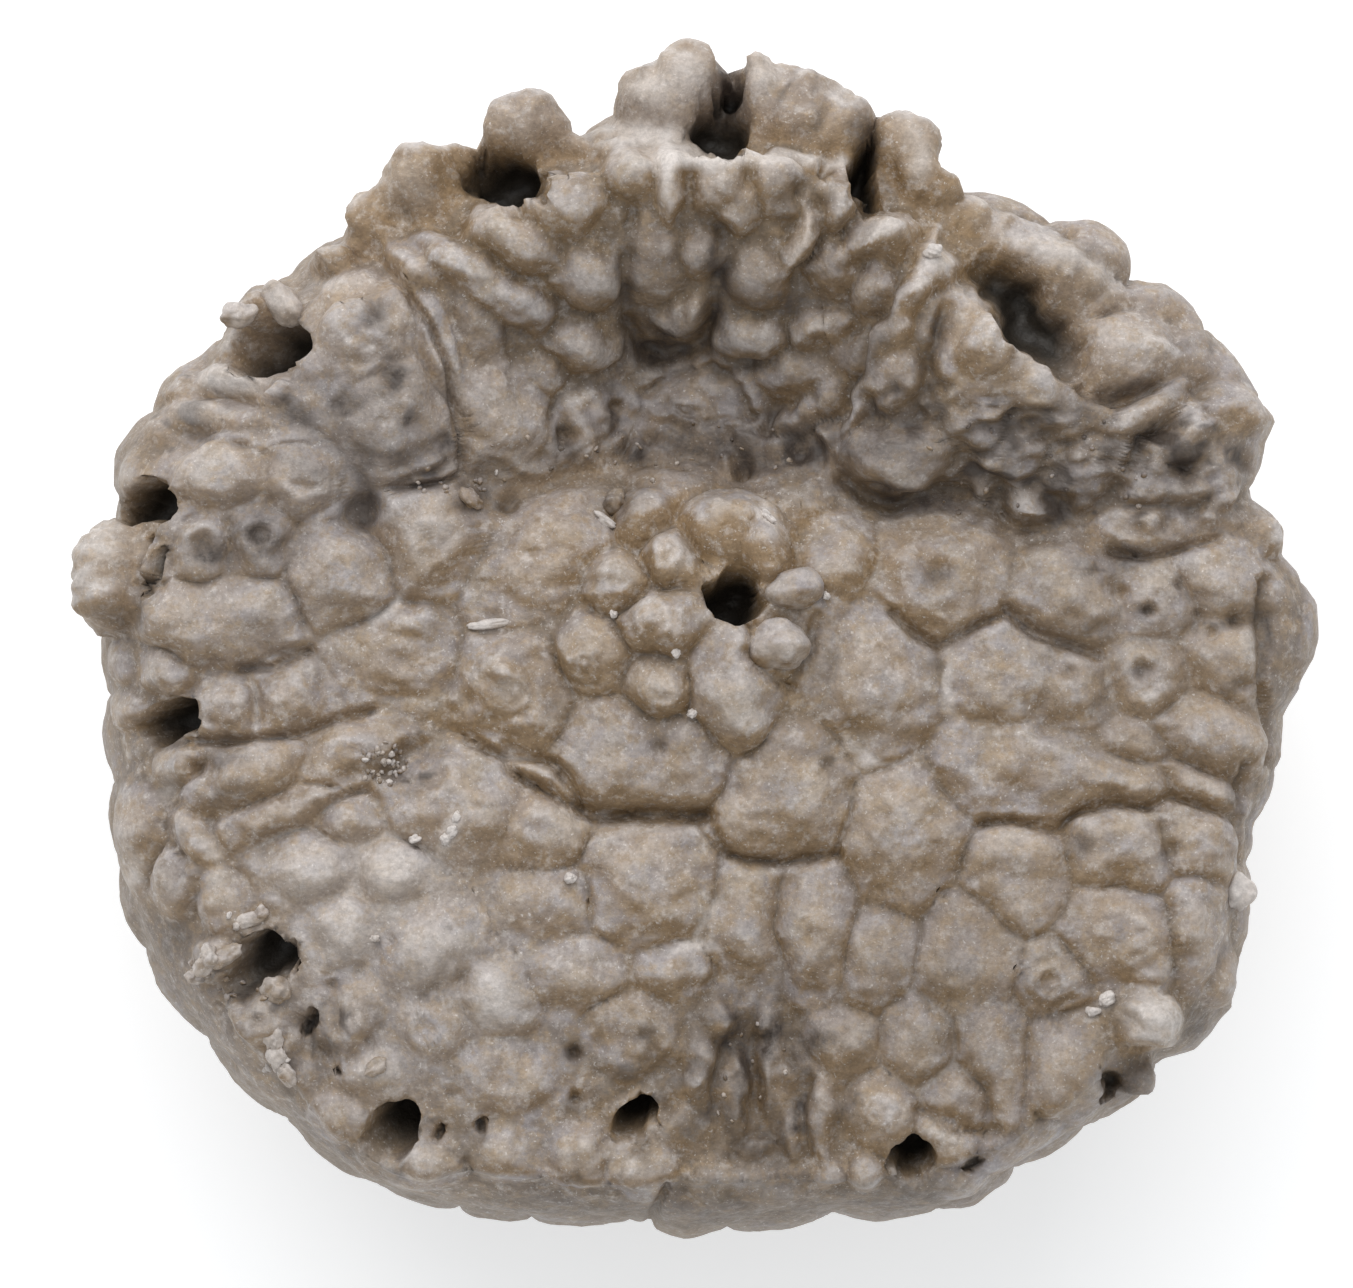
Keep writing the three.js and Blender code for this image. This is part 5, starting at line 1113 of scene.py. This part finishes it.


# The marks that the colours follow: painted shade in hollows, and proud places, against their near and wide
# neighbourhood, each plate's own tone and ring, painted shade on slopes, above all those that face the front,
# on the ground between plates and knobs, low on the bowl and down the openings, crumbs, washes, and stains
# with painted shadows and highlights among them.
level = ((stone - bare) * normals).sum(1) * (1 - deep)
fine = level - blurred(level, corners, NEAR_ROUNDS)
broad = level - blurred(level, corners, WIDE_ROUNDS)
tone = chance(12.9898 * first) * 2 - 1
ring_place = 0.1 + 0.7 * chance(78.233 * first)
ring = np.exp(-(((across_plate - ring_place) / RING_WIDTH) ** 2)) * covered
blots = stone + drift(bare, *BLOT_DRIFT)
wash = bells(blots, WASHES)
browner = np.clip(wash, 0, 1)
# Stains, painted shadows and painted highlights from the table, with painted shade added in broad hollows
# where the washes are browner.
stains_and_painted_light = bells(blots, STAINS_AND_PAINTED_LIGHT) - 0.7 * browner * np.clip(-0.9 * broad - 0.1, 0, 1)
turned = vertex_normals(stone, faces) - form_normals
# Painted shade on steep slopes, most on those that face the front, away from the window.
shaded_slope = (0.45 * (turned**2).sum(1) - 1.1 * turned[:, 1]) * (1 + 0.7 * browner)
gaps = blurred(np.clip(0.5 * np.exp(-((gap / 0.2) ** 2)) - 0.6 * crumb, 0, 1), corners, 2)
dirt = smooth(0.15, 0.6, noise(ragged, 0.9, 2) + 0.6 * noise(ragged, 0.4, 1))
# Painted shade in hollows and creases, against the near and wide neighbourhood.
crease_shade = np.clip(-fine * 3, 0, 1) * 0.5 + np.clip(-broad * 1.2, 0, 1) * 0.5
vein = np.exp(-((seam / VEIN_WIDTH) ** 2)) * covered * (1 - deep) * (1 - melted)
up_wall = stone[:, 2]
marks = {
    "crease_shade": crease_shade * (1 + 0.6 * browner),
    "proud": np.clip(fine * 4, 0, 1) * 0.5 + np.clip(broad * 1.0, 0, 1) * 0.5,
    "deep": deep,
    "tone": blurred(tone * covered, corners, 4),
    "ring": ring + ring_lines,
    "rough": rough * gaps + 0.75 * np.minimum(1, 1.6 * rough) * dirt,
    "shaded_flank": np.clip(shaded_slope, 0, 1) * (1 - deep),
    "wash": wash * smooth(15, 18.5, up_wall),
    # painted shade, darker towards the bottom of the bowl
    "bowl": 1 - smooth(*BOWL_SHADE_TOP, up_wall + 1.5 * noise(bare, 2.5, 0)),
    # painted shade on the ground between plates and knobs
    "ground_shade": (1 - covered) * (1 - smooth(0.1, 0.7, knob)) * smooth(16, 19, up_wall),
    "stains_and_painted_light": np.where(above, stains_and_painted_light * smooth(16.0, 19.5, up_wall), 0),
    "seam": vein * (0.3 + 0.7 * pair),
}


def build_mesh(name, points, faces, marks):
    """A smooth-shaded mesh from whole arrays: points in metres, three-sided faces, and one value for each
    vertex under each mark's name."""
    mesh = bpy.data.meshes.new(name)
    mesh.vertices.add(len(points))
    mesh.vertices.foreach_set("co", points.astype(np.float32).ravel())
    mesh.loops.add(faces.size)
    mesh.loops.foreach_set("vertex_index", faces.astype(np.int32).ravel())
    mesh.polygons.add(len(faces))
    mesh.polygons.foreach_set("loop_start", 3 * np.arange(len(faces), dtype=np.int32))
    mesh.update(calc_edges=True)
    mesh.shade_smooth()
    for mark, values in marks.items():
        mesh.attributes.new(mark, "FLOAT", "POINT").data.foreach_set("value", values.astype(np.float32))
    return mesh


def calcite():
    """The stone's material: the layers over each other, then the dark stains and painted shadows, denser
    where it is porous, the dark or pale mineral in the seams, painted shade down the openings' depths, and a
    fine speckle."""
    material = bpy.data.materials.new("calcite")
    material.use_nodes = True
    nodes, links = material.node_tree.nodes, material.node_tree.links
    shader = nodes["Principled BSDF"]
    shader.inputs["Subsurface Weight"].default_value = 0.0
    place = nodes.new("ShaderNodeTexCoord")

    def grain(scale, detail, roughness=0.5):
        texture = nodes.new("ShaderNodeTexNoise")
        texture.inputs["Scale"].default_value = scale
        texture.inputs["Detail"].default_value = detail
        texture.inputs["Roughness"].default_value = roughness
        links.new(place.outputs["Object"], texture.inputs["Vector"])
        return texture.outputs["Fac"]

    def mark(name):
        attribute = nodes.new("ShaderNodeAttribute")
        attribute.attribute_name = name
        return attribute.outputs["Fac"]

    def spread(value, low, high, to_low=0.0, to_high=1.0):
        ranged = nodes.new("ShaderNodeMapRange")
        ends = {"From Min": low, "From Max": high, "To Min": to_low, "To Max": to_high}
        for socket, number in ends.items():
            ranged.inputs[socket].default_value = number
        links.new(value, ranged.inputs["Value"])
        return ranged.outputs["Result"]

    def product(a, b):
        times = nodes.new("ShaderNodeMath")
        times.operation = "MULTIPLY"
        links.new(a, times.inputs[0])
        links.new(b, times.inputs[1])
        return times.outputs["Value"]

    def mixed(factor, a, b, blend="MIX"):
        mix = nodes.new("ShaderNodeMix")
        mix.data_type, mix.blend_type = "RGBA", blend
        for socket, value in ((0, factor), (6, a), (7, b)):
            if isinstance(value, (tuple, float)):
                mix.inputs[socket].default_value = value
            else:
                links.new(value, mix.inputs[socket])
        return mix.outputs[2]

    colour = (*OCHRE, 1)
    for follows, low, high, strength, tint in LAYERS:
        value = mark(follows) if isinstance(follows, str) else grain(*follows)
        colour = mixed(spread(value, low, high, 0, strength), colour, (*tint, 1))
    porous = spread(grain(900, 5, 0.72), 0.38, 0.6, 0.5, 1.12)
    # dark stains and painted shadows, denser where it is porous
    colour = mixed(product(spread(mark("stains_and_painted_light"), -0.02, -0.95, 0, 0.95), porous), colour, (*DARK, 1))
    seam_tone = mixed(spread(grain(120, 2), 0.53, 0.58), (*DARK, 1), (*PALE, 1))
    colour = mixed(spread(mark("seam"), 0.1, 1.0, 0, 0.42), colour, seam_tone)
    # painted shade down the openings, darkest deepest in
    colour = mixed(spread(mark("deep"), 0.1, 0.75, 0, 0.95), colour, (*PIT_SHADE, 1))
    speckle = spread(grain(4200, 3, 0.75), 0.3, 0.7, 0.8, 1.2)
    speckles = nodes.new("ShaderNodeCombineColor")
    for socket in ("Red", "Green", "Blue"):
        links.new(speckle, speckles.inputs[socket])
    colour = mixed(1.0, colour, speckles.outputs["Color"], "MULTIPLY")
    links.new(colour, shader.inputs["Base Color"])
    links.new(spread(grain(3000, 3), 0.3, 0.7, *POLISH), shader.inputs["Roughness"])
    bump = nodes.new("ShaderNodeBump")
    bump.inputs["Strength"].default_value = 0.75
    bump.inputs["Distance"].default_value = PORE_DEPTH * MM
    links.new(grain(4200, 4, 0.65), bump.inputs["Height"])
    links.new(bump.outputs["Normal"], shader.inputs["Normal"])
    return material


calyx = bpy.data.objects.new("calyx_stone", build_mesh("calyx_stone", stone * MM, faces, marks))
bpy.context.scene.collection.objects.link(calyx)
calyx.data.materials.append(calcite())
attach(calyx, "root")
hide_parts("calyx")

# ---------------------------------------------------------------------------------------------------------
# Grains: knobs, crystals and slivers of the same calcite that stand on the calyx as lumps of their own, two
# of them beside the anal opening, and crumbs left in its hollows. They have grown on it or are cemented on.

# x, y, half length, half width, half height, turn, how pale (+) or dark (-)
GRAINS = [
    [3.7, -0.2, 1.25, 1.1, 1.2, 0, 0.3], [4.3, 1.9, 1.15, 0.85, 0.9, 10, 0.25],
    [-16.1, 13.2, 1.15, 0.62, 0.9, -55, 0.5], [-17.6, 12.9, 0.7, 0.5, 0.6, 20, 0.4],
    [21.9, -10.1, 0.7, 0.75, 0.7, 0, 1], [-7.8, 0.55, 0.95, 0.19, 0.14, 8, 0.7],
    [-4.6, -9.5, 0.24, 0.2, 0.22, 0, 1.4], [-0.4, -0.6, 0.17, 0.17, 0.18, 0, 1.4],
    [0.2, -3, 0.24, 0.17, 0.2, 30, 1.4], [-2.8, 0.95, 0.17, 0.15, 0.17, 0, 1.4],
    [5.5, 1.7, 0.16, 0.16, 0.16, 0, 1.2], [-10.7, -7.9, 0.24, 0.18, 0.2, 0, 1.4],
    [3.2, 4.9, 0.38, 0.14, 0.2, 125, 1.2], [-3.2, 4.6, 0.5, 0.16, 0.2, -40, 1],
    [-9, -7.1, 0.26, 0.2, 0.16, 60, 1.2], [-9.25, -7.6, 0.3, 0.18, 0.16, 60, 1.2],
    [-9.45, -8, 0.24, 0.18, 0.14, 70, 1.2], [-8.6, 5.5, 0.65, 0.42, 0.4, -20, -0.15],
    [-2.8, 5.4, 0.45, 0.55, 0.45, 0, -0.5], [16.7, -14.4, 0.4, 0.25, 0.3, 40, 1.2],
    [16.2, -14.8, 0.3, 0.22, 0.25, 0, 1], [-18.2, -12.5, 0.7, 0.34, 0.36, 34, 0.4],
    [-19.1, -13, 0.65, 0.4, 0.4, 40, 0.5], [-18.8, -12.6, 0.45, 0.35, 0.4, 100, 0.6],
    [-19.5, -13.5, 0.4, 0.3, 0.3, 10, 0.4], [-16.5, -16, 0.42, 0.5, 0.3, 20, 0.5],
    [-16.2, -16.7, 0.4, 0.6, 0.32, -10, 0.6], [-15.9, -17.4, 0.35, 0.5, 0.28, 30, 0.4],
    [-17.4, -11.2, 0.7, 0.3, 0.25, 15, 0.5], [-16.8, -10.9, 0.35, 0.25, 0.25, 60, 0.5],
    [-12.3, -17, 0.5, 0.3, 0.2, 30, 0.3], [-16.3, -14, 0.55, 0.5, 0.5, 0, 0.2],
    [-12.4, -11.9, 0.22, 0.16, 0.16, 0, 0.9], [9.7, 15.2, 0.35, 0.28, 0.3, 0, 0.8],
]

# Strewn crumbs: how many, x, y, half length, half width of the patch, smallest and largest radius, how pale
STREWN = [
    [26, -1, 7.4, 7, 1.3, 0.05, 0.15, -0.2], [40, -12, -5, 0.9, 0.9, 0.06, 0.17, 0.3],
    [22, 14, 6.6, 5, 2.4, 0.05, 0.15, -0.2], [14, -9, 6.2, 2, 0.7, 0.06, 0.16, 0],
    [12, 2.6, -18, 2.4, 2.6, 0.05, 0.13, 0.1], [10, -17.6, -14.2, 1.4, 0.8, 0.06, 0.2, 0],
    [6, -19.1, -13.1, 0.8, 0.5, 0.08, 0.2, 0.4], [7, -16.3, -16.9, 0.5, 1.1, 0.08, 0.2, 0.4],
    [5, -17.6, -11.2, 1, 0.35, 0.08, 0.2, 0.4],
]

GRAIN_MESH = (18, 30)  # rows and columns of a grain's mesh
CRUMB_MESH = (6, 9)
LUMPS = [(0.34, 0.8, 0), (0.26, 0.4, 1)]  # of a grain of radius 1: height, size, layer
LUMPY_SIZE = 0.55  # half length up to which a grain has all of its lumps: longer ones are smoother
LIFT = 0.15  # how far a grain's middle stands above the stone, in its half heights


def sphere_grid(rows, columns):
    """Points of a unit sphere in rings from its top to its foot, with one point at each pole, and its
    triangles."""
    polar, around = np.meshgrid(
        math.pi * np.arange(1, rows) / rows, math.tau * np.arange(columns) / columns, indexing="ij"
    )
    rings = np.stack([np.sin(polar) * np.cos(around), np.sin(polar) * np.sin(around), np.cos(polar)], -1)
    points = np.concatenate([[[0, 0, 1]], rings.reshape(-1, 3), [[0, 0, -1]]])
    k = 1 + np.arange((rows - 1) * columns).reshape(rows - 1, columns)
    a, b = k[:-1], k[1:]
    c, d = np.roll(b, -1, 1), np.roll(a, -1, 1)
    top, foot = np.full(columns, 0), np.full(columns, len(points) - 1)
    faces = [
        np.stack([a, b, c], -1).reshape(-1, 3),
        np.stack([a, c, d], -1).reshape(-1, 3),
        np.stack([top, k[0], np.roll(k[0], -1)], 1),
        np.stack([foot, np.roll(k[-1], -1), k[-1]], 1),
    ]
    return points, np.concatenate(faces)


def grain_shape(row, number, rows, columns):
    """One grain: a sphere stretched to its three half lengths, its surface moved in and out by noise, most
    on the small grains, set with about two fifths of its height in the stone and square to the stone
    there."""
    x, y, long, wide, tall, turn, _ = row
    sphere, faces = sphere_grid(rows, columns)
    foot = np.argmin(np.hypot(stone[:, 0] - x, stone[:, 1] - y) - 0.02 * stone[:, 2])
    lumpy = 1 + unevenness(sphere + 5 * number, LUMPS) * min(1, LUMPY_SIZE / long)
    local = sphere * (long, wide, tall) * lumpy[:, None] + (0, 0, LIFT * tall)
    return stone[foot] + local @ standing(calm_normals[foot], turn), faces


calm_normals = calmed(vertex_normals(stone, faces), corners, 12)
scatter = np.random.default_rng(11)
grain_rows = [(row, *GRAIN_MESH) for row in GRAINS]
for count, x, y, long, wide, least, most, pale in STREWN:
    for _ in range(count):
        away, way_round = math.sqrt(scatter.uniform()), scatter.uniform(0, math.tau)
        half_sizes = scatter.uniform(least, most, 3)
        x_there, y_there = x + long * away * math.cos(way_round), y + wide * away * math.sin(way_round)
        turn, paleness = scatter.uniform(0, 180), pale + scatter.uniform(-0.7, 0.7)
        grain_rows.append(([x_there, y_there, *half_sizes, turn, paleness], *CRUMB_MESH))
grain_points, grain_faces, grain_stain, total = [], [], [], 0
for number, (row, rows, columns) in enumerate(grain_rows):
    shape, shape_faces = grain_shape(row, number, rows, columns)
    grain_points.append(shape)
    grain_faces.append(shape_faces + total)
    grain_stain.append(np.full(len(shape), row[6]))
    total += len(shape)
grain_points, grain_faces = np.concatenate(grain_points), np.concatenate(grain_faces)
facing = vertex_normals(grain_points, grain_faces)
grain_marks = {
    "stains_and_painted_light": np.concatenate(grain_stain) + 0.4 * noise(grain_points, 0.5, 1),
    # painted shade on the side of each grain that faces the front, away from the window
    "shaded_flank": np.clip(0.25 - 0.8 * facing[:, 1], 0, 1),
}
grain_mesh = build_mesh("calyx_grains", grain_points * MM, grain_faces, grain_marks)
grains = bpy.data.objects.new("calyx_grains", grain_mesh)
bpy.context.scene.collection.objects.link(grains)
grains.data.materials.append(calyx.data.materials[0])
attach(grains, "root")

# ---------------------------------------------------------------------------------------------------------
# Floor: a plain, near-white matt sheet, wide enough to fill every view, faintly lit from below as a light
# table is, so that shadows on it stay pale. The calyx stands on it.

FLOOR_SIZE = 3.0
PAPER_WHITE = (0.86, 0.86, 0.86, 1)
LIT_FROM_BELOW = 0.35

floor_mesh = bpy.data.meshes.new("floor")
edge_x, edge_y = np.meshgrid([-FLOOR_SIZE / 2, FLOOR_SIZE / 2], [-FLOOR_SIZE / 2, FLOOR_SIZE / 2])
floor_corners = np.stack([edge_x, edge_y, 0 * edge_x], -1).reshape(-1, 3)
floor_mesh.from_pydata(floor_corners.tolist(), [], [(0, 1, 3, 2)])
floor = bpy.data.objects.new("floor", floor_mesh)
bpy.context.scene.collection.objects.link(floor)
paper = bpy.data.materials.new("white_paper")
paper.use_nodes = True
paper_shader = paper.node_tree.nodes["Principled BSDF"]
paper_shader.inputs["Base Color"].default_value = PAPER_WHITE
paper_shader.inputs["Roughness"].default_value = 0.9
paper_shader.inputs["Emission Color"].default_value = (1, 1, 1, 1)
paper_shader.inputs["Emission Strength"].default_value = LIT_FROM_BELOW
floor.data.materials.append(paper)

# ---------------------------------------------------------------------------------------------------------
# Light: daylight through a large soft window beyond the side where the rim is highest, and even, slightly
# blue light from all round the room.

WINDOW_SIZE = 0.45
WINDOW_PLACE = (-0.04, 0.30, 0.30)
WINDOW_WATTS = 1.53
WINDOW_COLOUR = (1.0, 0.988, 0.978)
ROOM_STRENGTH = 0.68
ROOM_COLOUR = (0.935, 0.968, 1.0, 1)

window = bpy.data.lights.new("window", "AREA")
window.size = WINDOW_SIZE
window.energy = WINDOW_WATTS
window.color = WINDOW_COLOUR
window_object = bpy.data.objects.new("window", window)
window_object.location = WINDOW_PLACE
aim = Vector((0, 0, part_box("calyx")[1][2])) - Vector(WINDOW_PLACE)
window_object.rotation_euler = aim.to_track_quat("-Z", "Y").to_euler()
bpy.context.scene.collection.objects.link(window_object)

room = bpy.data.worlds.new("room")
room.use_nodes = True
room.node_tree.nodes["Background"].inputs["Color"].default_value = ROOM_COLOUR
room.node_tree.nodes["Background"].inputs["Strength"].default_value = ROOM_STRENGTH
bpy.context.scene.world = room
bpy.context.scene.view_settings.view_transform = "Standard"

# ---------------------------------------------------------------------------------------------------------
# Camera: straight above the tegmen and square to the floor, with a long lens, so far away that the bowl
# shows only where it bulges out from under the margin.

FIELD_WIDTH = 53.85 * MM  # what the camera takes in, at the level of the rim
FIELD_CENTRE = (-0.38 * MM, -0.24 * MM)
LENS = 250.0
SENSOR = 36.0

camera_data = bpy.data.cameras.new("camera")
camera_data.lens = LENS
camera_data.sensor_width = SENSOR
camera_data.clip_start = 0.01
camera = bpy.data.objects.new("camera", camera_data)
camera.location = (*FIELD_CENTRE, RIM_HEIGHT * MM + FIELD_WIDTH * LENS / SENSOR)
bpy.context.scene.collection.objects.link(camera)
bpy.context.scene.camera = camera
